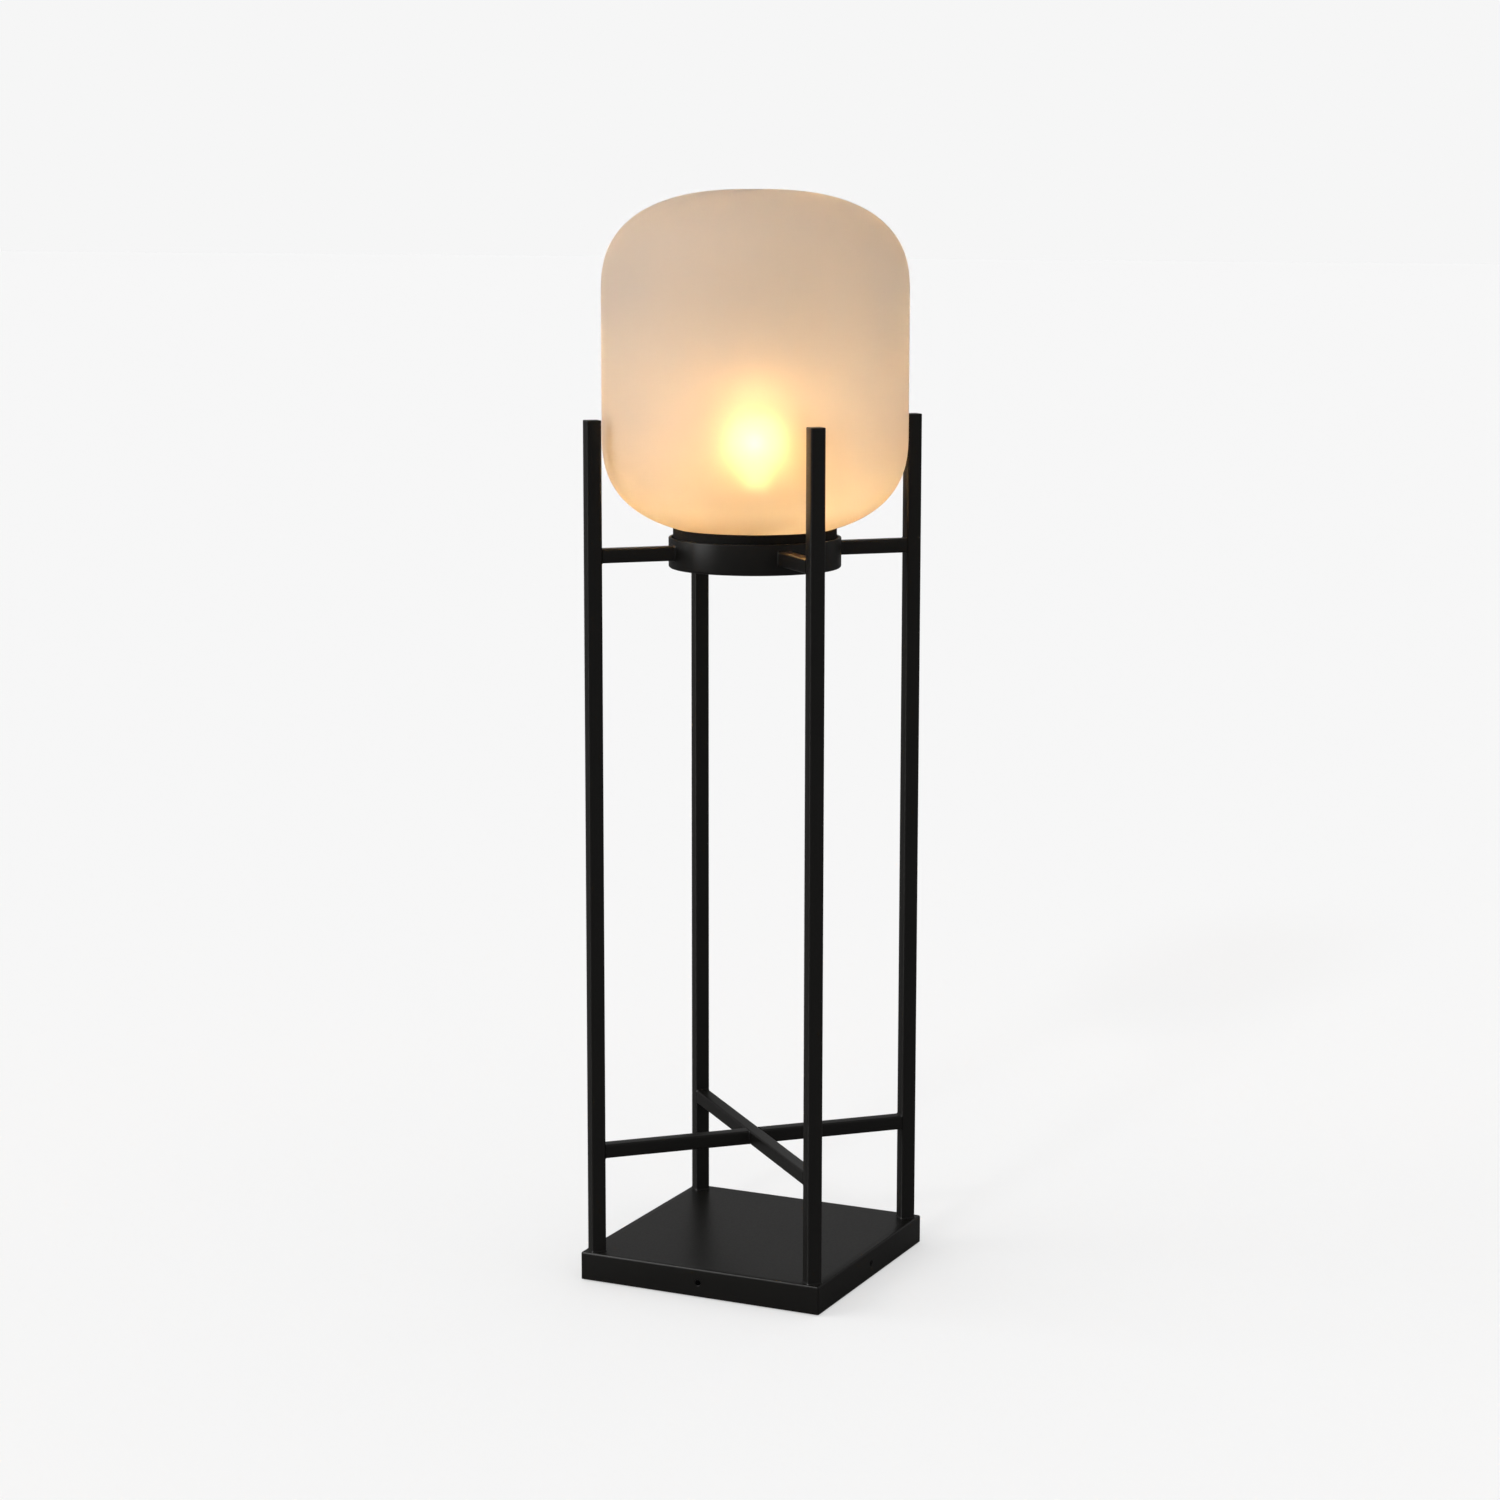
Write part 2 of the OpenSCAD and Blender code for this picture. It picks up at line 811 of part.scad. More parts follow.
module bulb_stem() {
    flare_low = cap_top + cap_skirt_h;
    color("#e9efe9")
        rotate_extrude()
            polygon([
                [0, flare_low], [neck_r - bulb_glass_t - weld_gap, flare_low],
                [neck_r - bulb_glass_t - weld_gap, flare_low + 1], [4, flare_low + 7],
                [3, stem_top - 2], [0, stem_top]
            ]);
}

// Two wires spread from the stem and hold the glowing coil at the bulb's middle
module bulb_filament() {
    spread = 9;
    foot_z = neck_top + 12;
    lean = atan2(spread - 3, bulb_mid - foot_z);
    reach = (bulb_mid - foot_z) / cos(lean);
    color("#ffd070")
        difference() {
            union() {
                for (side = [0, 180])
                    rotate([0, 0, side])
                        translate([3, 0, foot_z])
                            rotate([0, lean, 0])
                                cylinder(reach, 0.5, 0.5);
                translate([-spread - 0.5, 0, bulb_mid])
                    rotate([0, 90, 0])
                        cylinder(2 * spread + 1, 1, 1);
            }
            translate([0, 0, foot_z - 2])
                cylinder(stem_top + weld_gap - foot_z, 4.2, 4.2);
        }
}

// ---------- wiring ----------

module terminal_block() {
    color("#e6e2d6")
        rotate([0, 0, wired_post])
            translate([block_out - block[0], -block[1] / 2, tray_top])
                difference() {
                    cube(block);
                    for (y = [-1, 1])
                        translate([-1, block[1] / 2 + y * pole_pitch, block_bore_z])
                            rotate([0, 90, 0])
                                cylinder(block[0] + 2, block_bore_r, block_bore_r);
                    for (x = [0.25, 0.75], y = [-1, 1])
                        translate([x * block[0], block[1] / 2 + y * pole_pitch, 9])
                            cylinder(block[2], 2.2, 2.2);
                }
}

module terminal_screws() {
    color("#8a8a8c")
        rotate([0, 0, wired_post])
            translate([block_out - block[0], 0, tray_top])
                for (x = [0.25, 0.75], y = [-1, 1])
                    translate([x * block[0], y * pole_pitch, 9])
                        difference() {
                            cylinder(4, 2.1, 2.1);
                            translate([-3, -0.35, 3])
                                cube([6, 0.7, 2]);
                        }
}

module cord_inlet() {
    y_out = base_w / 2 + 2;
    color("#0e0e0e")
        translate([inlet_x, y_out, skirt_mid])
            rotate([90, 0, 0])
                rotate_extrude()
                    polygon([
                        [inlet_d / 2, 0], [inlet_flange_r - 0.8, 0], [inlet_flange_r, 0.8],
                        [inlet_flange_r, 2], [inlet_body_r, 2], [inlet_body_r, 2 + base_t],
                        [inlet_flange_r - 0.5, 2 + base_t], [inlet_body_r, inlet_l],
                        [inlet_d / 2, inlet_l]
                    ]);
}

function unit(v) = v / norm(v);

// One bend of the route as rings: place and direction in the plane of the wired post
function bend(a, b, c) =
    let (p = [b[0], b[1]])
    let (u = unit(p - [a[0], a[1]]))
    let (v = unit([c[0], c[1]] - p))
    let (turn = acos(min(1, u * v)))
    let (cut = b[2] * tan(turn / 2))
    let (side = sign(u[0] * v[1] - u[1] * v[0]))
    let (centre = p - cut * u + side * b[2] * [-u[1], u[0]])
    let (n = max(1, round(turn / 22.5)))
    [for (i = [0:n])
        let (t = side * turn * i / n)
        let (d = [u[0] * cos(t) - u[1] * sin(t), u[0] * sin(t) + u[1] * cos(t)])
        [centre - side * b[2] * [-d[1], d[0]], d]];

// Rings between two places on a straight stretch, without its ends
function straight(a, b, d) =
    let (n = max(1, ceil(norm(b - a) / lead_step)))
    [for (i = [1:1:n - 1]) [a + (b - a) * i / n, d]];

function lead_knots() =
    let (last = len(lead_route) - 1)
    let (first_d = unit([for (k = [0, 1]) lead_route[1][k] - lead_route[0][k]]))
    let (last_d = unit([for (k = [0, 1]) lead_route[last][k] - lead_route[last - 1][k]]))
    concat(
        [[[lead_route[0][0], lead_route[0][1]], first_d]],
        [for (i = [1:last - 1]) each bend(lead_route[i - 1], lead_route[i], lead_route[i + 1])],
        [[[lead_route[last][0], lead_route[last][1]], last_d]]
    );

function lead_rings(knots) = [
    for (i = [0:len(knots) - 1])
        each concat(
            [knots[i]],
            i < len(knots) - 1 && norm(knots[i + 1][0] - knots[i][0]) > lead_step
                ? straight(knots[i][0], knots[i + 1][0], knots[i][1])
                : []
        )
];

module internal_lead() {
    rings = lead_rings(lead_knots());
    points = [for (k = rings, j = [0:lead_sides - 1])
        let (a = 360 * (j + 0.5) / lead_sides)
        let (off = lead_r * cos(a))
        [k[0][0] - off * k[1][1], lead_r * sin(a), k[0][1] + off * k[1][0]]];
    skin = [for (i = [0:len(rings) - 2], j = [0:lead_sides - 1])
        let (a = i * lead_sides + j)
        let (b = i * lead_sides + (j + 1) % lead_sides)
        [a, a + lead_sides, b + lead_sides, b]];
    last = (len(rings) - 1) * lead_sides;
    ends = [
        [for (j = [0:lead_sides - 1]) j],
        [for (j = [lead_sides - 1:-1:0]) last + j]
    ];
    color("#202020")
        rotate([0, 0, wired_post])
            polyhedron(points, concat(skin, ends));
}

base_cover();
base_ballast();
base_tray();
tray_screws();
rubber_feet();
post(front_left);  // post_front_left
post(front_right);  // post_front_right
post(back_right);  // post_back_right
post(back_left);  // post_back_left
post_caps();
foot_inserts();
post_bolts();
post_washers();
wire_foot_insert();
wire_foot_nipple();
wire_foot_washer();
wire_foot_nut();
brace_long();
brace_half(front_left);  // brace_half_left
brace_half(back_right);  // brace_half_right
arm(front_left);  // arm_front_left
arm(front_right);  // arm_front_right
arm(back_right);  // arm_back_right
arm(back_left);  // arm_back_left
collar_ring();
holder_disc();
collar_under_cover();
collar_standoffs();
gallery_screws();
cover_screws();
shade_gallery();
shade_gasket();
glass_shade();
holder_nipple();
holder_washer();
holder_nut();
lampholder_cup();
lampholder_sleeve();
lampholder_core();
lampholder_thread();
lampholder_tongue();
lampholder_terminals();
bulb_glass();
bulb_cap();
bulb_insulator();
bulb_contact();
bulb_stem();
bulb_filament();
terminal_block();
terminal_screws();
cord_inlet();
internal_lead();
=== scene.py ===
"""Looks of a lantern floor lamp: a frosted glass barrel, lit from inside, on a collar between
four square posts.

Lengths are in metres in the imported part's frame: +Z is up, -Y is the front, and the lamp's axis
is the Z axis.
"""

import math

import bmesh
import bpy
from mathutils import Matrix, Vector


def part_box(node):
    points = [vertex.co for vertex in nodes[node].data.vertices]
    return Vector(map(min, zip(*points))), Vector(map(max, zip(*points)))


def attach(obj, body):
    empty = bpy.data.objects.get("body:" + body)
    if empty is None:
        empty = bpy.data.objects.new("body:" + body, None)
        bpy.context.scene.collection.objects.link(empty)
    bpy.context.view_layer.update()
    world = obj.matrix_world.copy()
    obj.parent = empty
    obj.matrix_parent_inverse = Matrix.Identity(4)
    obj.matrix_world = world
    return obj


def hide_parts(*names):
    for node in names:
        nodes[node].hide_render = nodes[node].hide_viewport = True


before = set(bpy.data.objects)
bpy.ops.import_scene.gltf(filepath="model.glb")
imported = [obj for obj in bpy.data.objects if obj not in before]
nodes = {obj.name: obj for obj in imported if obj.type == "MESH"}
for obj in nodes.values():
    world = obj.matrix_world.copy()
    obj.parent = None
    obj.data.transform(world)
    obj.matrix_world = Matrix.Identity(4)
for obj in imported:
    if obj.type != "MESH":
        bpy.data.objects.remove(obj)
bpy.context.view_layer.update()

MM = 0.001
TURN = 2 * math.pi
QUARTER = math.pi / 2

# Corners that are nearer than this count as one, or as lying at one height
TOUCHING = 1e-6

# The camera's lens and place, and its turns in degrees
SENSOR, LENS = 36, 79.86
CAMERA_PLACE = (1.3847, -2.9535, 1.0614)
CAMERA_TURN, CAMERA_DOWN, CAMERA_ROLL = 25.199, 9.297, 0.081

# The grey of the backdrop and of the paper floor, and the floor's half width
BACKGROUND = "#f6f6f6"
FLOOR_HALF = 60

# The walls' light at the dim side and at the bright side
WALLS_BRIGHT_SIDE, WALLS_DIM, WALLS_BRIGHT = (0.905, 0.426, 0), 0.565, 0.96
# Two round lights: the way to each, the cosines from it where it begins and is full, its strength
SOFT_LIGHT = (Vector((-0.80, -0.52, 0.36)), 0.86, 0.96, 3.1)
OVERHEAD_LIGHT = (Vector((-0.40, -0.30, 0.87)), 0.9, 0.98, 5)
# The faint lamp from the front: the way its light goes, its strength and its width in degrees
FRONT_LAMP, FRONT_LAMP_ENERGY, FRONT_LAMP_WIDTH = Vector((0.04, 1.5, -0.91)), 0.4, 6

# Shares of the walls' and the floor's light that gloss shows
WALLS_IN_GLOSS, FLOOR_IN_GLOSS = 0.3, 0.12
# The soft light shows brighter in gloss than it shines
SOFT_IN_GLOSS = 1.5

# The barrel: its ends as if the lower one were closed and flat like the upper one, its radius, the
# height of its rounded ends and how square they are, its wall, and its opening
SHADE_H = 336 * MM
shade_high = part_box("glass_shade")[1].z
shade_low = shade_high - SHADE_H
SHADE_R, SHADE_ROUND, SHADE_POWER, GLASS_T, OPENING_R = 150 * MM, 100 * MM, 2.55, 3 * MM, 62 * MM

# Height above its opening up to which the glass lets more light through
NECK_GLOW = 125 * MM
# Heights between which the painted shade round the opening fades: the colour there is deeper,
# standing for the shade of the gasket and gallery below
RIM_SHADE_LOW, RIM_SHADE_HIGH = 12 * MM, 36 * MM

# Directions of the posts round the lamp's axis, in degrees from +X. The lead runs in the wired one.
POSTS = {"front_left": 225, "front_right": 315, "back_right": 45, "back_left": 135}
WIRED_POST = "back_left"


# ---------- small helpers ----------


def linear(hex_colour):
    """An sRGB hex colour as linear red, green and blue with a full alpha."""
    channels = [int(hex_colour[i : i + 2], 16) / 255 for i in (1, 3, 5)]
    return [c / 12.92 if c <= 0.04045 else ((c + 0.055) / 1.055) ** 2.4 for c in channels] + [1]


def per_metre(size_mm):
    """The scale of a pattern whose features are size_mm across."""
    return 1000 / size_mm


def add(tree, kind, inputs=None, **settings):
    """Adds a node with its settings. An input is a plain value or another node's output."""
    node = tree.nodes.new(kind)
    for name, value in settings.items():
        setattr(node, name, value)
    for name, value in (inputs or {}).items():
        if isinstance(value, bpy.types.NodeSocket):
            tree.links.new(value, node.inputs[name])
        else:
            node.inputs[name].default_value = value
    return node


def put_in_scene(name, data):
    """A new object in the scene that shows a mesh, a camera or a lamp."""
    thing = bpy.data.objects.new(name, data)
    bpy.context.scene.collection.objects.link(thing)
    return thing


# ---------- camera, light and floor ----------


def place_camera():
    """The photograph's view: from the front right, from the glass's upper part slightly down."""
    data = bpy.data.cameras.new("camera")
    data.sensor_width = SENSOR
    data.lens = LENS
    camera = put_in_scene("camera", data)
    camera.matrix_world = (
        Matrix.Translation(CAMERA_PLACE)
        @ Matrix.Rotation(math.radians(CAMERA_TURN), 4, "Z")
        @ Matrix.Rotation(math.radians(90 - CAMERA_DOWN), 4, "X")
        @ Matrix.Rotation(math.radians(CAMERA_ROLL), 4, "Z")
    )
    bpy.context.scene.camera = camera
    bpy.context.scene.view_settings.view_transform = "Standard"


def round_light(tree, way, towards_light, begins, full, strength):
    """The strength of a round light with a soft edge, as the world shows it in each direction."""
    nearness = add(
        tree,
        "ShaderNodeVectorMath",
        {0: way, 1: towards_light.normalized()},
        operation="DOT_PRODUCT",
    )
    inputs = {"From Min": begins, "From Max": full, "To Min": 0, "To Max": strength}
    inputs["Value"] = nearness.outputs["Value"]
    light = add(tree, "ShaderNodeMapRange", inputs, interpolation_type="SMOOTHSTEP")
    return light.outputs[0]


def light_studio():
    """A pale room with a soft light at the left front, a light overhead that only gloss shows, and
    a faint lamp from the front that gives the long shadow."""
    world = bpy.data.worlds.new("pale_studio")
    bpy.context.scene.world = world
    world.use_nodes = True
    tree = world.node_tree
    tree.nodes.clear()
    way = add(tree, "ShaderNodeTexCoord").outputs["Generated"]
    path = add(tree, "ShaderNodeLightPath").outputs
    in_gloss = path["Is Glossy Ray"]
    # The walls are a little brighter on the right, which evens out the soft light on the glass
    side = add(
        tree, "ShaderNodeVectorMath", {0: way, 1: WALLS_BRIGHT_SIDE}, operation="DOT_PRODUCT"
    ).outputs["Value"]
    walls = add(
        tree,
        "ShaderNodeMapRange",
        {"Value": side, "From Min": -1, "To Min": WALLS_DIM, "To Max": WALLS_BRIGHT},
    )
    # They show dim in gloss, so that the black coat stays black, and the soft light shows bright
    dim, lift = (
        add(tree, "ShaderNodeMapRange", {"Value": in_gloss, "To Min": 1, "To Max": share})
        for share in (WALLS_IN_GLOSS, SOFT_IN_GLOSS)
    )
    # The light overhead draws the thin light lines along folds and welds
    parts = [
        (walls.outputs[0], dim.outputs[0]),
        (round_light(tree, way, *SOFT_LIGHT), lift.outputs[0]),
        (round_light(tree, way, *OVERHEAD_LIGHT), in_gloss),
    ]
    level = 0
    for light, share in parts:
        shown = add(tree, "ShaderNodeMath", {0: light, 1: share}, operation="MULTIPLY")
        total = add(tree, "ShaderNodeMath", {0: level, 1: shown.outputs[0]}, operation="ADD")
        level = total.outputs[0]
    room = add(tree, "ShaderNodeBackground", {"Color": linear("#ffffff"), "Strength": level})
    backdrop = add(tree, "ShaderNodeBackground", {"Color": linear(BACKGROUND), "Strength": 1})
    shown = add(
        tree,
        "ShaderNodeMixShader",
        {0: path["Is Camera Ray"], 1: room.outputs[0], 2: backdrop.outputs[0]},
    )
    add(tree, "ShaderNodeOutputWorld", {"Surface": shown.outputs[0]})

    lamp = bpy.data.lights.new("front_lamp", "SUN")
    lamp.energy = FRONT_LAMP_ENERGY
    lamp.angle = math.radians(FRONT_LAMP_WIDTH)
    front_lamp = put_in_scene("front_lamp", lamp)
    front_lamp.rotation_euler = FRONT_LAMP.to_track_quat("-Z", "Y").to_euler()


def floor_paper():
    """Seamless white paper: matt, as pale as the backdrop, with the lamp's shadow softened for the
    camera, and dim in gloss."""
    mat = bpy.data.materials.new("studio_paper")
    mat.use_nodes = True
    tree = mat.node_tree
    tree.nodes.clear()
    path = add(tree, "ShaderNodeLightPath").outputs
    shader = add(tree, "ShaderNodeBsdfDiffuse", {"Color": linear(BACKGROUND)})
    pale = add(tree, "ShaderNodeEmission", {"Color": linear(BACKGROUND), "Strength": 1})
    dark = add(tree, "ShaderNodeBsdfDiffuse", {"Color": linear("#000000")})
    for ray, share, other in (
        ("Is Camera Ray", 0.5, pale),
        ("Is Glossy Ray", 1 - FLOOR_IN_GLOSS, dark),
    ):
        factor = add(tree, "ShaderNodeMath", {0: path[ray], 1: share}, operation="MULTIPLY")
        inputs = {0: factor.outputs[0], 1: shader.outputs[0], 2: other.outputs[0]}
        shader = add(tree, "ShaderNodeMixShader", inputs)
    add(tree, "ShaderNodeOutputMaterial", {"Surface": shader.outputs[0]})
    return mat


def lay_floor():
    bm = bmesh.new()
    bmesh.ops.create_grid(bm, x_segments=1, y_segments=1, size=FLOOR_HALF)
    mesh = bpy.data.meshes.new("floor")
    bm.to_mesh(mesh)
    bm.free()
    mesh.materials.append(floor_paper())
    floor = put_in_scene("floor", mesh)


# ---------- materials ----------


def start_material(name):
    """An empty material, its node tree and its Object coordinates."""
    mat = bpy.data.materials.new(name)
    mat.use_nodes = True
    tree = mat.node_tree
    tree.nodes.clear()
    return mat, tree, add(tree, "ShaderNodeTexCoord").outputs["Object"]


def grained(name, tones, patch, grain, relief, roughness, stretch=(1, 1, 1), **shader):
    """A surface whose tone drifts in patches, and whose relief and roughness have a finer grain.

    tones are two hex colours, patch and grain are sizes in millimetres, relief is the grain's
    height in millimetres, roughness is its lowest and highest value, and stretch is how many times
    finer the grain is along each axis.
    """
    mat, tree, place = start_material(name)
    drift = add(
        tree, "ShaderNodeTexNoise", {"Vector": place, "Scale": per_metre(patch), "Detail": 3}
    )
    tone = add(
        tree,
        "ShaderNodeMix",
        {0: drift.outputs["Fac"], 6: linear(tones[0]), 7: linear(tones[1])},
        data_type="RGBA",
    )
    drawn = add(tree, "ShaderNodeMapping", {"Vector": place, "Scale": stretch}).outputs[0]
    fine = add(
        tree, "ShaderNodeTexNoise", {"Vector": drawn, "Scale": per_metre(grain), "Detail": 2}
    ).outputs["Fac"]
    # The noise stays mostly between these two values
    rough = {"Value": fine, "From Min": 0.3, "From Max": 0.7}
    rough |= {"To Min": roughness[0], "To Max": roughness[1]}
    bump = add(
        tree, "ShaderNodeBump", {"Height": fine, "Strength": 1, "Distance": relief * MM}
    ).outputs[0]
    inputs = {
        "Base Color": tone.outputs[2],
        "Roughness": add(tree, "ShaderNodeMapRange", rough).outputs[0],
        "Normal": bump,
        **shader,
    }
    surface = add(tree, "ShaderNodeBsdfPrincipled", inputs)
    add(tree, "ShaderNodeOutputMaterial", {"Surface": surface.outputs[0]})
    return mat


# Satin black powder coat, baked on: near black, with soft wide highlights and faint orange peel
powder_coat = grained(
    "satin_black_powder_coat", ("#0f0e0d", "#131210"),
    patch=60, grain=1.6, relief=0.012, roughness=(0.3, 0.36), **{"Specular IOR Level": 0.25},
)
# Hot-rolled steel plate, sawn: blue-grey scale with dull patches
mill_steel = grained(
    "hot_rolled_steel", ("#3b3d40", "#52504d"),
    patch=25, grain=2.5, relief=0.02, roughness=(0.45, 0.65), Metallic=1,
)
# Pressed sheet steel in matt black primer: dull and even
tray_paint = grained(
    "matt_black_primer", ("#1a1a1a", "#222121"),
    patch=40, grain=0.8, relief=0.01, roughness=(0.6, 0.75),
)
# Zinc-plated steel: pale, slightly blue metal with fine drawn lines
zinc = grained(
    "bright_zinc_plate", ("#a9adb2", "#c2c4c6"),
    patch=6, grain=0.5, relief=0.004, roughness=(0.22, 0.38), stretch=(1, 1, 6), Metallic=1,
)
# Zinc-plated screws passed black: dark metal with a dull shine
black_zinc = grained(
    "black_zinc_plate", ("#0c0c0d", "#161616"),
    patch=6, grain=0.6, relief=0.004, roughness=(0.35, 0.5), Metallic=1,
)
# Moulded black rubber: matt, with a soft pale bloom
rubber = grained(
    "moulded_black_rubber", ("#060606", "#0c0b0b"),
    patch=12, grain=0.7, relief=0.015, roughness=(0.6, 0.8), **{"Specular IOR Level": 0.2},
)
# Turned brass: warm yellow metal with fine rings across its axis
brass = grained(
    "turned_brass", ("#b08a45", "#c9a55c"),
    patch=10, grain=0.6, relief=0.006, roughness=(0.2, 0.34), stretch=(0.3, 0.3, 3), Metallic=1,
)
# Moulded phenolic: deep black plastic with a soft polish
phenolic = grained(
    "moulded_black_phenolic", ("#0c0b0a", "#131110"),
    patch=18, grain=1.2, relief=0.004, roughness=(0.24, 0.34),
)
# Glazed porcelain: warm white under a clear gloss
porcelain = grained(
    "glazed_porcelain", ("#e2dccb", "#ece7d9"),
    patch=8, grain=1.0, relief=0.004, roughness=(0.08, 0.16), **{"Coat Weight": 0.4},
)
# Rolled aluminium of the bulb's cap: pale, with fine rings
cap_metal = grained(
    "rolled_aluminium", ("#b2b3b5", "#c9cacb"),
    patch=5, grain=0.5, relief=0.005, roughness=(0.24, 0.4), stretch=(0.4, 0.4, 3), Metallic=1,
)
# Black glass insulator, fused into the cap: deep and glossy
insulator_glass = grained(
    "black_glass", ("#08080a", "#101014"),
    patch=4, grain=0.8, relief=0.003, roughness=(0.06, 0.14),
)
# Moulded polyamide block: warm white and slightly waxy
polyamide = grained(
    "moulded_polyamide", ("#d8d2c2", "#e3ded0"),
    patch=9, grain=0.9, relief=0.008, roughness=(0.38, 0.5), **{"Subsurface Weight": 0.05},
)
# Extruded sheath of the internal lead: satin black with faint drawn lines
sheath = grained(
    "extruded_black_sheath", ("#101010", "#181817"),
    patch=20, grain=0.6, relief=0.01, roughness=(0.4, 0.52), stretch=(1, 1, 0.1),
)
# Tungsten wire at white heat: its glow hides the metal's own colour
hot_wire = grained(
    "glowing_tungsten", ("#ffd089", "#ffdfa8"),
    patch=2, grain=0.3, relief=0.002, roughness=(0.4, 0.5),
    **{"Emission Color": linear("#ffd9a0"), "Emission Strength": 30},
)


def stem_glass():
    """Clear lead glass of the bulb's stem: colourless and smooth, with slight waves from the
    flame."""
    mat, tree, place = start_material("clear_lead_glass")
    waves = add(
        tree, "ShaderNodeTexNoise", {"Vector": place, "Scale": per_metre(5), "Detail": 1}
    ).outputs["Fac"]
    bump = add(tree, "ShaderNodeBump", {"Height": waves, "Strength": 1, "Distance": 0.1 * MM})
    rough = add(tree, "ShaderNodeMapRange", {"Value": waves, "To Min": 0.01, "To Max": 0.05})
    inputs = {
        "Base Color": linear("#f2f8f4"),
        "Roughness": rough.outputs[0],
        "IOR": 1.55,
        "Transmission Weight": 1,
        "Normal": bump.outputs[0],
    }
    surface = add(tree, "ShaderNodeBsdfPrincipled", inputs)
    add(tree, "ShaderNodeOutputMaterial", {"Surface": surface.outputs[0]})
    return mat


# The bulb's glow: its strength at the rim and full on, and what the hot spot adds in the middle.
# The spot ends at a share of the way from the middle to the rim, as Layer Weight counts it.
RIM_GLOW, WIDE_GLOW, HOT_GLOW, HOT_SPOT = 1, 66, 600, 0.07


def lit_bulb_glass():
    """Soda glass, frosted inside and lit: the white coating glows warm all over and fades towards
    its rim, with the wire's hot spot in the middle."""
    mat, tree, place = start_material("frosted_bulb_glass")
    frost = add(
        tree, "ShaderNodeTexNoise", {"Vector": place, "Scale": per_metre(1.5), "Detail": 2}
    ).outputs["Fac"]
    facing = add(tree, "ShaderNodeLayerWeight", {"Blend": 0.5}).outputs["Facing"]
    spot = add(
        tree,
        "ShaderNodeMapRange",
        {"Value": facing, "From Min": 0, "From Max": HOT_SPOT},
        interpolation_type="SMOOTHSTEP",
    ).outputs[0]
    full_on = add(tree, "ShaderNodeMath", {0: 1, 1: facing}, operation="SUBTRACT").outputs[0]
    fading = add(tree, "ShaderNodeMath", {0: full_on, 1: 2}, operation="POWER").outputs[0]
    wide = {"Value": fading, "To Min": RIM_GLOW, "To Max": WIDE_GLOW}
    hot = {"Value": spot, "To Min": HOT_GLOW, "To Max": 0}
    glows = [add(tree, "ShaderNodeMapRange", inputs).outputs[0] for inputs in (wide, hot)]
    glow = add(tree, "ShaderNodeMath", {0: glows[0], 1: glows[1]}, operation="ADD")
    colour = add(
        tree,
        "ShaderNodeMix",
        {0: spot, 6: linear("#fff4dc"), 7: linear("#ffbf6c")},
        data_type="RGBA",
    )
    rough = add(tree, "ShaderNodeMapRange", {"Value": frost, "To Min": 0.15, "To Max": 0.3})
    inputs = {
        "Base Color": linear("#fff4e0"),
        "Roughness": rough.outputs[0],
        "IOR": 1.5,
        "Emission Color": colour.outputs[2],
        "Emission Strength": glow.outputs[0],
    }
    surface = add(tree, "ShaderNodeBsdfPrincipled", inputs)
    add(tree, "ShaderNodeOutputMaterial", {"Surface": surface.outputs[0]})
    return mat


def let_lamps_through(tree, glass, colour):
    """Puts a glass on its material's output, and lets lamps shine through it with part of their
    light, given as a colour."""
    passed = add(tree, "ShaderNodeBsdfTransparent", {"Color": linear(colour)})
    shadow = add(tree, "ShaderNodeLightPath").outputs["Is Shadow Ray"]
    inputs = {0: shadow, 1: glass.outputs[0], 2: passed.outputs[0]}
    shown = add(tree, "ShaderNodeMixShader", inputs)
    add(tree, "ShaderNodeOutputMaterial", {"Surface": shown.outputs[0]})


def fade_upwards(tree, height, low, high):
    """1 below the first height, 0 above the second, and a soft step between."""
    inputs = {"Value": height, "From Min": low, "From Max": high, "To Min": 1, "To Max": 0}
    return add(tree, "ShaderNodeMapRange", inputs, interpolation_type="SMOOTHSTEP").outputs[0]


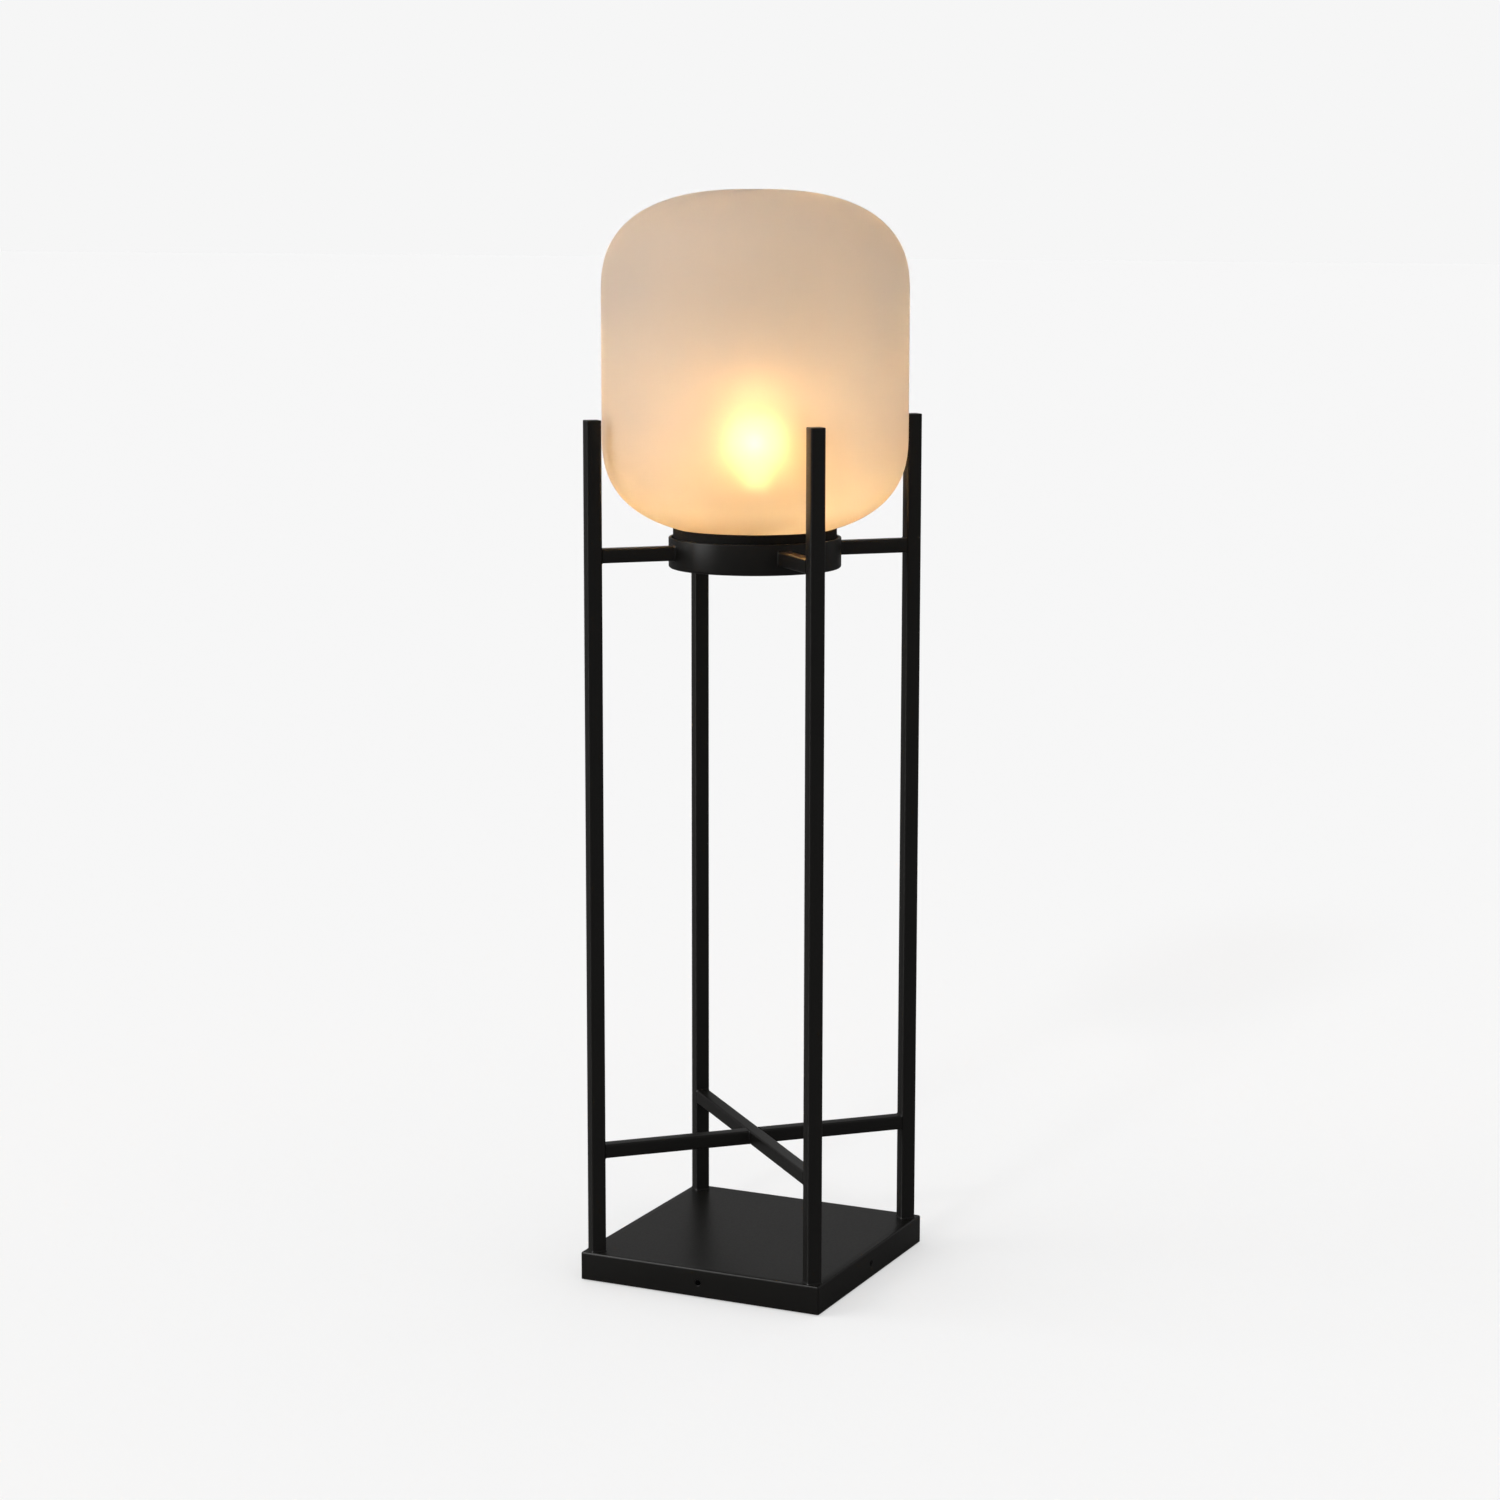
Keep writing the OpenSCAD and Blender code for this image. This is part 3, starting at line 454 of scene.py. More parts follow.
def frosted_glass():
    """Blown glass, etched with acid on the outside: matt, warm beige in daylight, and soft round
    the bulb behind it."""
    mat, tree, place = start_material("acid_etched_glass")
    # The etch is 0.2 mm fine, drawn at 0.8 mm so that it shows
    etch = add(tree, "ShaderNodeTexNoise", {"Vector": place, "Scale": per_metre(0.8), "Detail": 2})
    cloud = add(tree, "ShaderNodeTexNoise", {"Vector": place, "Scale": per_metre(70), "Detail": 2})
    bump = add(
        tree,
        "ShaderNodeBump",
        {"Height": etch.outputs["Fac"], "Strength": 1, "Distance": 0.01 * MM},
    ).outputs[0]
    tint = add(
        tree,
        "ShaderNodeMix",
        {0: cloud.outputs["Fac"], 6: linear("#b5afaa"), 7: linear("#bab4af")},
        data_type="RGBA",
    ).outputs[2]
    # The etched face scatters daylight back, with a weak sheen at its edges
    skin = add(tree, "ShaderNodeBsdfDiffuse", {"Color": tint, "Normal": bump})
    sheen = add(
        tree,
        "ShaderNodeBsdfGlossy",
        {"Color": linear("#ffffff"), "Roughness": 0.45, "Normal": bump},
    )
    edge = add(tree, "ShaderNodeFresnel", {"IOR": 1.08}).outputs[0]
    front = add(
        tree, "ShaderNodeMixShader", {0: edge, 1: skin.outputs[0], 2: sheen.outputs[0]}
    )
    # What is behind shows blurred: a small part narrowly, as the bulb's core does, the rest widely
    narrow, wide = (
        add(
            tree,
            "ShaderNodeBsdfRefraction",
            {"Color": linear(colour), "Roughness": roughness, "IOR": 1.45},
        )
        for colour, roughness in (("#fffaf3", 0.22), ("#fff8dc", 0.9))
    )
    blur = add(tree, "ShaderNodeMixShader", {0: 0.83, 1: narrow.outputs[0], 2: wide.outputs[0]})
    height = add(tree, "ShaderNodeSeparateXYZ", {0: place}).outputs["Z"]
    # Painted shade: near the opening the light that comes through is painted deeper in colour, for
    # the shade that the gasket and gallery cast there
    painted_rim_shade = fade_upwards(tree, height, shade_low + RIM_SHADE_LOW, shade_low + RIM_SHADE_HIGH)
    tint_with_rim_shade = add(
        tree,
        "ShaderNodeMix",
        {0: painted_rim_shade, 6: linear("#fffae8"), 7: linear("#dcd0b6")},
        data_type="RGBA",
    )
    lit_through = add(tree, "ShaderNodeBsdfTranslucent", {"Color": tint_with_rim_shade.outputs[2]})
    # The etch is lighter towards the opening: more of the bulb's light comes through there, and
    # more evenly
    neck = fade_upwards(tree, height, shade_low, shade_low + NECK_GLOW)
    blurred = add(tree, "ShaderNodeMapRange", {"Value": neck, "To Min": 0.65, "To Max": 0.25})
    behind = add(
        tree,
        "ShaderNodeMixShader",
        {0: blurred.outputs[0], 1: lit_through.outputs[0], 2: blur.outputs[0]},
    )
    passing = add(tree, "ShaderNodeMapRange", {"Value": neck, "To Min": 0.43, "To Max": 0.8})
    glass = add(
        tree,
        "ShaderNodeMixShader",
        {0: passing.outputs[0], 1: front.outputs[0], 2: behind.outputs[0]},
    )
    let_lamps_through(tree, glass, "#b8a080")
    return mat


def inner_glass():
    """The barrel's inner wall: fired smooth by the blowing, with faint waves."""
    mat, tree, place = start_material("fire_polished_glass")
    waves = add(tree, "ShaderNodeTexNoise", {"Vector": place, "Scale": per_metre(30), "Detail": 1})
    bump = add(
        tree,
        "ShaderNodeBump",
        {"Height": waves.outputs["Fac"], "Strength": 1, "Distance": 0.1 * MM},
    )
    inputs = {"Color": linear("#fffaf2"), "Roughness": 0.3, "IOR": 1.45, "Normal": bump.outputs[0]}
    let_lamps_through(tree, add(tree, "ShaderNodeBsdfRefraction", inputs), "#fffaf2")
    return mat


bulb_glass_lit = lit_bulb_glass()
clear_stem = stem_glass()
etched = frosted_glass()
inner_wall = inner_glass()

# ---------- shaping ----------


def keep_piece(bm, name, material, body, slot, *replaced, sharp=35):
    """Closes a mesh, points its faces outwards and puts it on its body in place of the CAD nodes
    that it stands for. Edges sharper than an angle in degrees stay sharp."""
    bmesh.ops.remove_doubles(bm, verts=bm.verts, dist=TOUCHING)
    bmesh.ops.recalc_face_normals(bm, faces=bm.faces)
    mesh = bpy.data.meshes.new(name)
    bm.to_mesh(mesh)
    bm.free()
    mesh.shade_smooth()
    mesh.set_sharp_from_angle(angle=math.radians(sharp))
    for one in material if isinstance(material, (list, tuple)) else [material]:
        mesh.materials.append(one)
    piece = put_in_scene(name, mesh)
    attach(piece, body)
    if replaced:
        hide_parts(*replaced)


def keep_coated(bm, name, *replaced):
    """A piece of the powder-coated stand."""
    keep_piece(bm, name, powder_coat, "stand", "black_powder_coat", *replaced)


def outline(bm, points):
    """A chain of edges through (radius, height) points in the XZ plane."""
    verts = [bm.verts.new((r, 0, z)) for r, z in points]
    edges = [bm.edges.new(pair) for pair in zip(verts, verts[1:])]
    return verts + edges


def in_mm(points, low):
    """An outline's points, given as millimetres out from the axis and up from a height."""
    return [(r * MM, low + z * MM) for r, z in points]


def closed(points):
    return points + points[:1]


def turned(bm, points, steps):
    """Turns an outline about the lamp's axis, closing it at the seam and at the poles."""
    bmesh.ops.spin(
        bm,
        geom=outline(bm, points),
        cent=(0, 0, 0),
        axis=(0, 0, 1),
        dvec=(0, 0, 0),
        angle=TURN,
        steps=steps,
        use_merge=True,
    )
    bmesh.ops.remove_doubles(bm, verts=bm.verts, dist=TOUCHING)


def arc(r, z, radius, start, end, steps):
    """Points on an arc in an outline, with its angles in degrees."""
    turns = [math.radians(start + (end - start) * i / steps) for i in range(steps + 1)]
    return [(r + radius * math.cos(a), z + radius * math.sin(a)) for a in turns]


def blank(width, low, height):
    """A square block standing on low, centred on the Z axis, for shaping."""
    bm = bmesh.new()
    bmesh.ops.create_cube(bm, size=1)
    bmesh.ops.scale(bm, vec=(width, width, height), verts=bm.verts)
    bmesh.ops.translate(bm, vec=(0, 0, low + height / 2), verts=bm.verts)
    return bm


def at_height(items, level):
    """Those of some edges or faces whose corners all lie at one height."""
    return [item for item in items if all(abs(v.co.z - level) < TOUCHING for v in item.verts)]


def upright(bm):
    """The edges that rise."""
    return [e for e in bm.edges if abs(e.verts[0].co.z - e.verts[1].co.z) > TOUCHING]


def only(kind, items):
    """Those items of an operator's result that are corners, or that are edges."""
    return [item for item in items if isinstance(item, kind)]


def soften(bm, edges, radius, segments):
    bmesh.ops.bevel(
        bm,
        geom=edges,
        offset=radius,
        segments=segments,
        profile=0.5,
        affect="EDGES",
        material=-1,
    )


def move(bm, matrix):
    bmesh.ops.transform(bm, matrix=matrix, verts=bm.verts)
    return bm


def join(bm, other):
    """Adds another mesh to the first."""
    mesh = bpy.data.meshes.new("loose")
    other.to_mesh(mesh)
    other.free()
    bm.from_mesh(mesh)
    bpy.data.meshes.remove(mesh)


def cut_out(bm, cutter):
    """What is left of one closed mesh after another is cut out of it."""
    blanks = []
    for part in (bm, cutter):
        bmesh.ops.remove_doubles(part, verts=part.verts, dist=TOUCHING)
        bmesh.ops.recalc_face_normals(part, faces=part.faces)
        mesh = bpy.data.meshes.new("blank")
        part.to_mesh(mesh)
        part.free()
        blanks.append(put_in_scene("blank", mesh))
    change = blanks[0].modifiers.new("cut", "BOOLEAN")
    change.object = blanks[1]
    change.solver = "EXACT"
    seen = blanks[0].evaluated_get(bpy.context.evaluated_depsgraph_get())
    left = bmesh.new()
    left.from_mesh(seen.to_mesh())
    for one in blanks:
        bpy.data.objects.remove(one)
    return left


# Steps round small, middling and large turned pieces
FEW, SOME, MANY = 48, 96, 144


def drill(radius, surface, length, lip=0.3 * MM):
    """A round cutter down from above a surface, which also breaks the hole's edge."""
    bm = bmesh.new()
    foot, crown = surface - length, surface + lip
    points = [(0, foot), (radius, foot), (radius, surface - lip), (radius + 2 * lip, crown)]
    turned(bm, points + [(0, crown)], FEW)
    return bm


# ---------- tubes ----------

# A weld's fillet at a tube's end, as distances from the end and rises above the tube's side in
# millimetres
WELD = ((1.6, 0), (0.9, 0.15), (0.45, 0.45), (0.15, 0.85), (0, 1.0))
# Shares of its width that a weld spreads along a tube's X and Y: all round, on a post that is
# hardly wider than the tube, and on a brace that is as high
ALL_ROUND, ON_A_POST, ON_A_BRACE = (1, 1), (1, 0.3), (0, 1)
TUBE_T = 1.2 * MM
TUBE_CORNER = 2 * MM


def square_tube(width, length, low_weld=None, high_weld=None, cope=None):
    """A rolled square tube along Z from 0 to length.

    A welded end spreads into its fillet by a share along X and a share along Y. A cope is the
    radius of the round face that the low end is cut to fit.
    """
    shells = []
    for inset in (0, TUBE_T):
        bm = blank(width - 2 * inset, 0, length)
        soften(bm, upright(bm), TUBE_CORNER - inset, 6)
        ends = at_height(bm.faces, 0) + at_height(bm.faces, length)
        bmesh.ops.delete(bm, geom=ends, context="FACES")
        shells.append(bm)
    bm, bore = shells
    for level, way, weld in ((0, 1, low_weld), (length, -1, high_weld)):
        if not weld:
            continue
        edges = at_height(bm.edges, level)
        verts = {v for e in edges for v in e.verts}
        spread = (1, 1)
        for distance, rise in WELD:
            if rise:
                grown = bmesh.ops.extrude_edge_only(bm, edges=edges)["geom"]
                verts = set(only(bmesh.types.BMVert, grown))
                edges = [e for e in only(bmesh.types.BMEdge, grown) if set(e.verts) <= verts]
            wider = [1 + 2 * rise * MM * share / width for share in weld]
            out_x, out_y = wider[0] / spread[0], wider[1] / spread[1]
            for v in verts:
                v.co = (v.co.x * out_x, v.co.y * out_y, level + way * distance * MM)
            spread = wider
    join(bm, bore)
    for level in (0, length):
        rims = at_height(bm.edges, level)
        bmesh.ops.triangle_fill(bm, use_beauty=True, edges=rims, normal=(0, 0, 1))
    if cope:
        # The low end's corners are the only ones down here
        for v in bm.verts:
            if v.co.z < 2 * MM:
                v.co.z += math.sqrt(cope**2 - v.co.y**2) - cope
    return bm


def towards(post):
    """The turn from +X to a post's direction."""
    return Matrix.Rotation(math.radians(POSTS[post]), 4, "Z")


def along(post, start, height):
    """The place of something that runs from the lamp's axis towards a post, made along its own
    Z axis."""
    across = Matrix.Rotation(QUARTER, 4, "Y")
    return towards(post) @ Matrix.Translation((start, 0, height)) @ across


def middle(node, axis):
    low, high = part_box(node)
    return (low[axis] + high[axis]) / 2


POST_W, ARM_W = 15 * MM, 14 * MM
POST_OUT = middle("post_back_right", 0) * math.sqrt(2)
POST_FACE = POST_OUT - POST_W / 2
base_low, base_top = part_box("base_cover")[0].z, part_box("base_cover")[1].z
post_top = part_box("post_back_right")[1].z
cap_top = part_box("post_caps")[1].z
arm_z, brace_z = middle("arm_back_right", 2), middle("brace_long", 2)
collar_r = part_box("collar_ring")[1].x
collar_low, collar_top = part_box("collar_ring")[0].z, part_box("collar_ring")[1].z


def at_post(post):
    return towards(post) @ Matrix.Translation((POST_OUT, 0, 0))


def stand_posts():
    arm_bore = ARM_W - 2 * TUBE_T
    for post in POSTS:
        tube = square_tube(POST_W, post_top - base_top, low_weld=ALL_ROUND)
        bm = move(tube, Matrix.Translation((0, 0, base_top)))
        if post == WIRED_POST:
            # Opening for the lead, behind the arm's end
            opening = blank(arm_bore, arm_z - arm_bore / 2, arm_bore)
            bm = cut_out(bm, move(opening, Matrix.Translation((-POST_W / 2, 0, 0))))
        keep_coated(move(bm, at_post(post)), "tube_post_" + post, "post_" + post)


def plug_posts():
    """A flat plate on each post's top with its plug in the bore, its edges rounded by the grinding
    of the weld."""
    ground, play, plug_length = 0.9 * MM, 0.1 * MM, 8 * MM
    caps = bmesh.new()
    for post in POSTS:
        bm = blank(POST_W, post_top, cap_top - post_top)
        soften(bm, upright(bm), TUBE_CORNER, 6)
        soften(bm, at_height(bm.edges, cap_top), ground, 5)
        under = at_height(bm.faces, post_top)
        bmesh.ops.inset_region(bm, faces=under, thickness=TUBE_T + play)
        grown = bmesh.ops.extrude_face_region(bm, geom=under)["geom"]
        plug = only(bmesh.types.BMVert, grown)
        bmesh.ops.delete(bm, geom=under, context="FACES_ONLY")
        bmesh.ops.translate(bm, vec=(0, 0, -plug_length), verts=plug)
        join(caps, move(bm, at_post(post)))
    keep_coated(caps, "welded_post_caps", "post_caps")


def weld_braces():
    """The lower cross: one whole tube, and two halves against its sides."""
    half_start = ARM_W / 2
    for node, post, start, low_weld in (
        ("brace_long", "front_right", -POST_FACE, ON_A_POST),
        ("brace_half_left", "front_left", half_start, ON_A_BRACE),
        ("brace_half_right", "back_right", half_start, ON_A_BRACE),
    ):
        bm = square_tube(ARM_W, POST_FACE - start, low_weld, ON_A_POST)
        keep_coated(move(bm, along(post, start, brace_z)), "tube_" + node, node)


def weld_arms():
    """The arms, their inner ends cut round to the collar."""
    start = collar_r + 0.1 * MM
    for post in POSTS:
        bm = square_tube(ARM_W, POST_FACE - start, ALL_ROUND, ON_A_POST, cope=start)
        keep_coated(move(bm, along(post, start, arm_z)), "tube_arm_" + post, "arm_" + post)


# ---------- base ----------

SHEET_T = 1.5 * MM
SIDE_HOLE_R, INLET_HOLE_R, BOLT_HOLE_R, WIRE_HOLE_R = 3.1 * MM, 5.5 * MM, 3.3 * MM, 5.3 * MM
skirt_z = (base_low + base_top) / 2
skirt_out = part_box("base_cover")[1].x
inlet_x = middle("cord_inlet", 0)


def side_turns():
    """The turns from +X to the base's four sides."""
    return [Matrix.Rotation(side * QUARTER, 4, "Z") for side in range(4)]


def fold_cover():
    """A tray of folded sheet turned upside down, with its corners welded and ground round."""
    fold_r, deep = 2 * MM, 4 * MM
    bm = blank(2 * skirt_out, base_low, base_top - base_low)
    open_rim = set(at_height(bm.edges, base_low))
    soften(bm, [e for e in bm.edges if e not in open_rim], fold_r, 6)
    bmesh.ops.delete(bm, geom=at_height(bm.faces, base_low), context="FACES")
    bmesh.ops.recalc_face_normals(bm, faces=bm.faces)
    bmesh.ops.solidify(bm, geom=bm.faces[:], thickness=SHEET_T)
    cutters = bmesh.new()
    up = Matrix.Translation((0, 0, skirt_z))
    for turn in side_turns():
        outwards = turn @ up @ Matrix.Rotation(QUARTER, 4, "Y")
        join(cutters, move(drill(SIDE_HOLE_R, skirt_out, deep), outwards))
    to_back = Matrix.Translation((inlet_x, 0, skirt_z)) @ Matrix.Rotation(-QUARTER, 4, "X")
    join(cutters, move(drill(INLET_HOLE_R, skirt_out, deep), to_back))
    for post in POSTS:
        radius = WIRE_HOLE_R if post == WIRED_POST else BOLT_HOLE_R
        join(cutters, move(drill(radius, base_top, deep, lip=0.1 * MM), at_post(post)))
    keep_coated(cut_out(bm, cutters), "folded_base_cover", "base_cover")


# The lamp's small screws: radii of shank and head, and the hexagon socket's radius and depth
SHANK_R, HEAD_R, SOCKET_R, SOCKET_DEPTH = 1.5 * MM, 2.8 * MM, 1.15 * MM, 0.9 * MM


def socket_screw(shank_l, head_h):
    """A screw whose head stands above z = 0, with a rounded edge and a hexagon socket, and its
    shank below."""
    bm = bmesh.new()
    edge = 0.35 * MM
    points = [(0, -shank_l), (SHANK_R - edge, -shank_l), (SHANK_R, edge - shank_l)]
    points += [(SHANK_R, 0), (HEAD_R, 0)]
    points += arc(HEAD_R - edge, head_h - edge, edge, 0, 90, 4) + [(0, head_h)]
    turned(bm, points, FEW)
    key = bmesh.new()
    bmesh.ops.create_cone(
        key,
        cap_ends=True,
        segments=6,
        radius1=SOCKET_R,
        radius2=SOCKET_R,
        depth=2 * SOCKET_DEPTH,
    )
    bmesh.ops.translate(key, vec=(0, 0, head_h), verts=key.verts)
    return cut_out(bm, key)


def drive_screws():
    """The screws in the skirt's sides, flush with it, and those under the collar's cover."""
    head_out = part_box("tray_screws")[1].x
    screws = bmesh.new()
    for turn in side_turns():
        outwards = turn @ Matrix.Translation((head_out - SHEET_T, 0, skirt_z))
        screw = socket_screw(6 * MM, SHEET_T)
        join(screws, move(screw, outwards @ Matrix.Rotation(QUARTER, 4, "Y")))
    keep_piece(screws, "skirt_socket_screws", black_zinc, "stand", "zinc_screw", "tray_screws")

    head_low, shank_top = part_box("cover_screws")[0].z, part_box("cover_screws")[1].z
    head_h, out = 1.8 * MM, 64 * MM
    screws = bmesh.new()
    for angle in (75, 195, 315):
        turn = Matrix.Rotation(math.radians(angle), 4, "Z")
        spot = turn @ Matrix.Translation((out, 0, head_low + head_h))
        screw = socket_screw(shank_top - head_low - head_h, head_h)
        join(screws, move(screw, spot @ Matrix.Rotation(math.pi, 4, "X")))
    keep_piece(screws, "cover_socket_screws", black_zinc, "stand", "zinc_screw", "cover_screws")


def press_inlet():
    """The rubber grommet in the back of the skirt, with a rounded collar outside and a tapered one
    inside."""
    low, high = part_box("cord_inlet")
    length = high.y - low.y
    points = [(3.6, 0.3), (3.9, 0), (6.4, 0), (7.1, 0.3), (7.4, 1), (7.2, 1.8), (6.9, 2)]
    points += [(5.4, 2), (5.4, 3.5), (6.7, 3.5), (6.9, 3.8), (5.4, 7.7), (5.1, 8), (3.6, 8)]
    bm = bmesh.new()
    turned(bm, closed([(r * MM, length - z * MM) for r, z in points]), FEW)
    move(bm, Matrix.Translation((inlet_x, low.y, skirt_z)) @ Matrix.Rotation(-QUARTER, 4, "X"))
    keep_piece(bm, "rubber_grommet", rubber, "stand", "rubber", "cord_inlet", sharp=50)


# ---------- collar and soft ring ----------


def roll_collar():
    """The collar, rolled from flat bar: its lower outer edge is well rounded, the others only
    broken."""
    inner = collar_r - 3 * MM
    small, large, burr = 0.4 * MM, 2.5 * MM, 0.2 * MM
    points = arc(collar_r - large, collar_low + large, large, -90, 0, 8)
    points += arc(collar_r - 2 * small, collar_top - 2 * small, 2 * small, 0, 90, 4)
    points += arc(inner + small, collar_top - small, small, 90, 180, 3)
    points += [(inner, collar_low + burr), (inner + burr, collar_low)]
    bm = bmesh.new()
    turned(bm, closed(points), MANY)
    wire_hole = move(drill(4.5 * MM, collar_r, 6 * MM), along(WIRED_POST, 0, arm_z))
    keep_coated(cut_out(bm, wire_hole), "rolled_collar", "collar_ring")


def glass_rise(r):
    """Height of the glass's outer skin above the barrel's lower end, at a distance from the
    axis."""
    return SHADE_ROUND * (1 - (1 - (r / SHADE_R) ** SHADE_POWER) ** (1 / SHADE_POWER))


def mould_gasket():
    """The black ring under the glass, with a lip over the gallery's edge and rounded corners."""
    lip_low, lip_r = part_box("shade_gasket")[0].z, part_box("shade_gasket")[1].x
    lip_t, gap, edge = 1 * MM, 0.3 * MM, 0.35 * MM
    inner, seat = 68 * MM, lip_low + 4 * MM
    crest = shade_low + glass_rise(lip_r) - gap
    points = [(inner, seat), (lip_r - lip_t, seat), (lip_r - lip_t, lip_low)]
    points += arc(lip_r - edge, lip_low + edge, edge, -90, 0, 3)
    points += arc(lip_r - edge, crest - 2.5 * edge, edge, 0, 60, 3)
    # Its top follows the glass
    steps = 9
    span = lip_r - 2 * edge - inner
    for i in range(steps, -1, -1):
        r = inner + span * i / steps
        points.append((r, shade_low + glass_rise(r) - gap))
    bm = bmesh.new()
    turned(bm, closed(points), MANY)
    keep_piece(bm, "moulded_shade_gasket", rubber, "stand", "rubber", "shade_gasket")


# ---------- glass barrel ----------


def rounded_end(radius, depth, r_from, steps):
    """One end of the barrel as (radius, depth from the flat end), from r_from out to the side."""
    first = math.acos((r_from / radius) ** (SHADE_POWER / 2)) if r_from else QUARTER
    turns = [first * (1 - i / steps) for i in range(steps + 1)]
    power = 2 / SHADE_POWER
    return [(radius * math.cos(t) ** power, depth * (1 - math.sin(t) ** power)) for t in turns]


def blow_glass():
    """The barrel with its wall, and a rim that is rounded in the flame."""
    # Both skins end at the rim's middle
    rim = OPENING_R + 1.65 * MM
    low_steps, high_steps, lip_steps, round_steps = 44, 60, 8, 128
    outer, inner = (SHADE_R, SHADE_ROUND), (SHADE_R - GLASS_T, SHADE_ROUND - GLASS_T)
    outer_low, inner_low = (rounded_end(*skin, rim, low_steps) for skin in (outer, inner))
    outer_high, inner_high = (rounded_end(*skin, 0, high_steps) for skin in (outer, inner))
    rim_low = shade_low + outer_low[0][1]
    rim_high = shade_low + GLASS_T + inner_low[0][1]
    lip = arc(rim, (rim_low + rim_high) / 2, (rim_high - rim_low) / 2, 90, 270, lip_steps)
    points = (
        [(max(r, 0), shade_high - GLASS_T - d) for r, d in inner_high]
        + [(r, shade_low + GLASS_T + d) for r, d in reversed(inner_low)]
        + lip[1:-1]
        + [(r, shade_low + d) for r, d in outer_low]
        + [(max(r, 0), shade_high - d) for r, d in reversed(outer_high)]
    )
    bm = bmesh.new()
    turned(bm, points, round_steps)
    bmesh.ops.recalc_face_normals(bm, faces=bm.faces)
    # The inner wall's faces look at the barrel's middle
    centre = Vector((0, 0, (shade_low + shade_high) / 2))
    for face in bm.faces:
        if face.normal.dot(face.calc_center_median() - centre) < 0:
            face.material_index = 1
    glass = [etched, inner_wall]
    keep_piece(bm, "blown_glass_shade", glass, "shade", "frosted_glass", "glass_shade")


# ---------- lampholder and bulb ----------

cup_low, cup_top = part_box("lampholder_cup")[0].z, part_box("lampholder_cup")[1].z
# The sleeve's flutes: how many, how deep, and how far up they run
FLUTES, FLUTE_DEPTH, FLUTE_LOW, FLUTE_HIGH = 36, 0.5 * MM, 8 * MM, 25 * MM


def mould_lampholder():
    """Cup and sleeve of the lampholder: turned outlines with soft edges, and finger flutes round
    the sleeve."""
    points = [(5.05, 0.2), (5.25, 0), (8.7, 0), (9.05, 0.35), (9.05, 4), (18, 4), (18.8, 4.4)]
    points += [(19.3, 5), (19.5, 5.8), (19.5, 20.8), (19.3, 21), (17.5, 21), (17.5, 15)]
    points += [(15.5, 15), (15.5, 6), (5.05, 6)]
    bm = bmesh.new()
    turned(bm, closed(in_mm(points, cup_low)), SOME)
    keep_piece(bm, "moulded_holder_cup", phenolic, "stand", "phenolic", "lampholder_cup")

    points = [(17.5, 0), (19.3, 0), (19.5, 0.2), (19.5, 4), (20.2, 4.4), (20.5, 5), (20.5, 9)]
    points += [(20.5, 24), (20.5, 32), (20.3, 33.3), (19.5, 34), (16.2, 34), (15.6, 33.4)]
    points += [(15.6, 30), (17.5, 30)]
    fluted_r = 20.4 * MM
    bm = bmesh.new()
    turned(bm, closed(in_mm(points, cup_top)), MANY)
    for v in bm.verts:
        r = math.hypot(v.co.x, v.co.y)
        if r > fluted_r and FLUTE_LOW < v.co.z - cup_top < FLUTE_HIGH:
            groove = max(0, math.cos(FLUTES * math.atan2(v.co.y, v.co.x)))
            v.co.xy *= 1 - FLUTE_DEPTH * groove / r
    keep_piece(bm, "moulded_holder_sleeve", phenolic, "stand", "phenolic", "lampholder_sleeve")


BULB_R, NECK_R, BULB_T = 30 * MM, 13 * MM, 1 * MM
bulb_low, bulb_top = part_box("bulb_glass")[0].z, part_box("bulb_glass")[1].z
bulb_mid = bulb_top - BULB_R


def blow_bulb():
    """A pear outline from the neck to the crown, with its wall."""
    # The neck's hollow flare meets the round crown without a corner
    drop = BULB_R * 4 / 3
    flare = (NECK_R**2 + drop**2 - BULB_R**2) / (2 * (BULB_R - NECK_R))
    turn = math.degrees(math.atan2(drop, NECK_R + flare))
    skins = []
    for inset in (0, BULB_T):
        skin = [(NECK_R - inset, bulb_low)]
        skin += arc(NECK_R + flare, bulb_mid - drop, flare + inset, 180, 180 - turn, 12)
        skins.append(skin + arc(0, bulb_mid, BULB_R - inset, -turn, 90, 32)[1:])
    bm = bmesh.new()
    turned(bm, [(max(r, 0), z) for r, z in skins[1][::-1] + skins[0]], SOME)
    keep_piece(bm, "blown_bulb", bulb_glass_lit, "bulb", "bulb_glass", "bulb_glass", sharp=60)


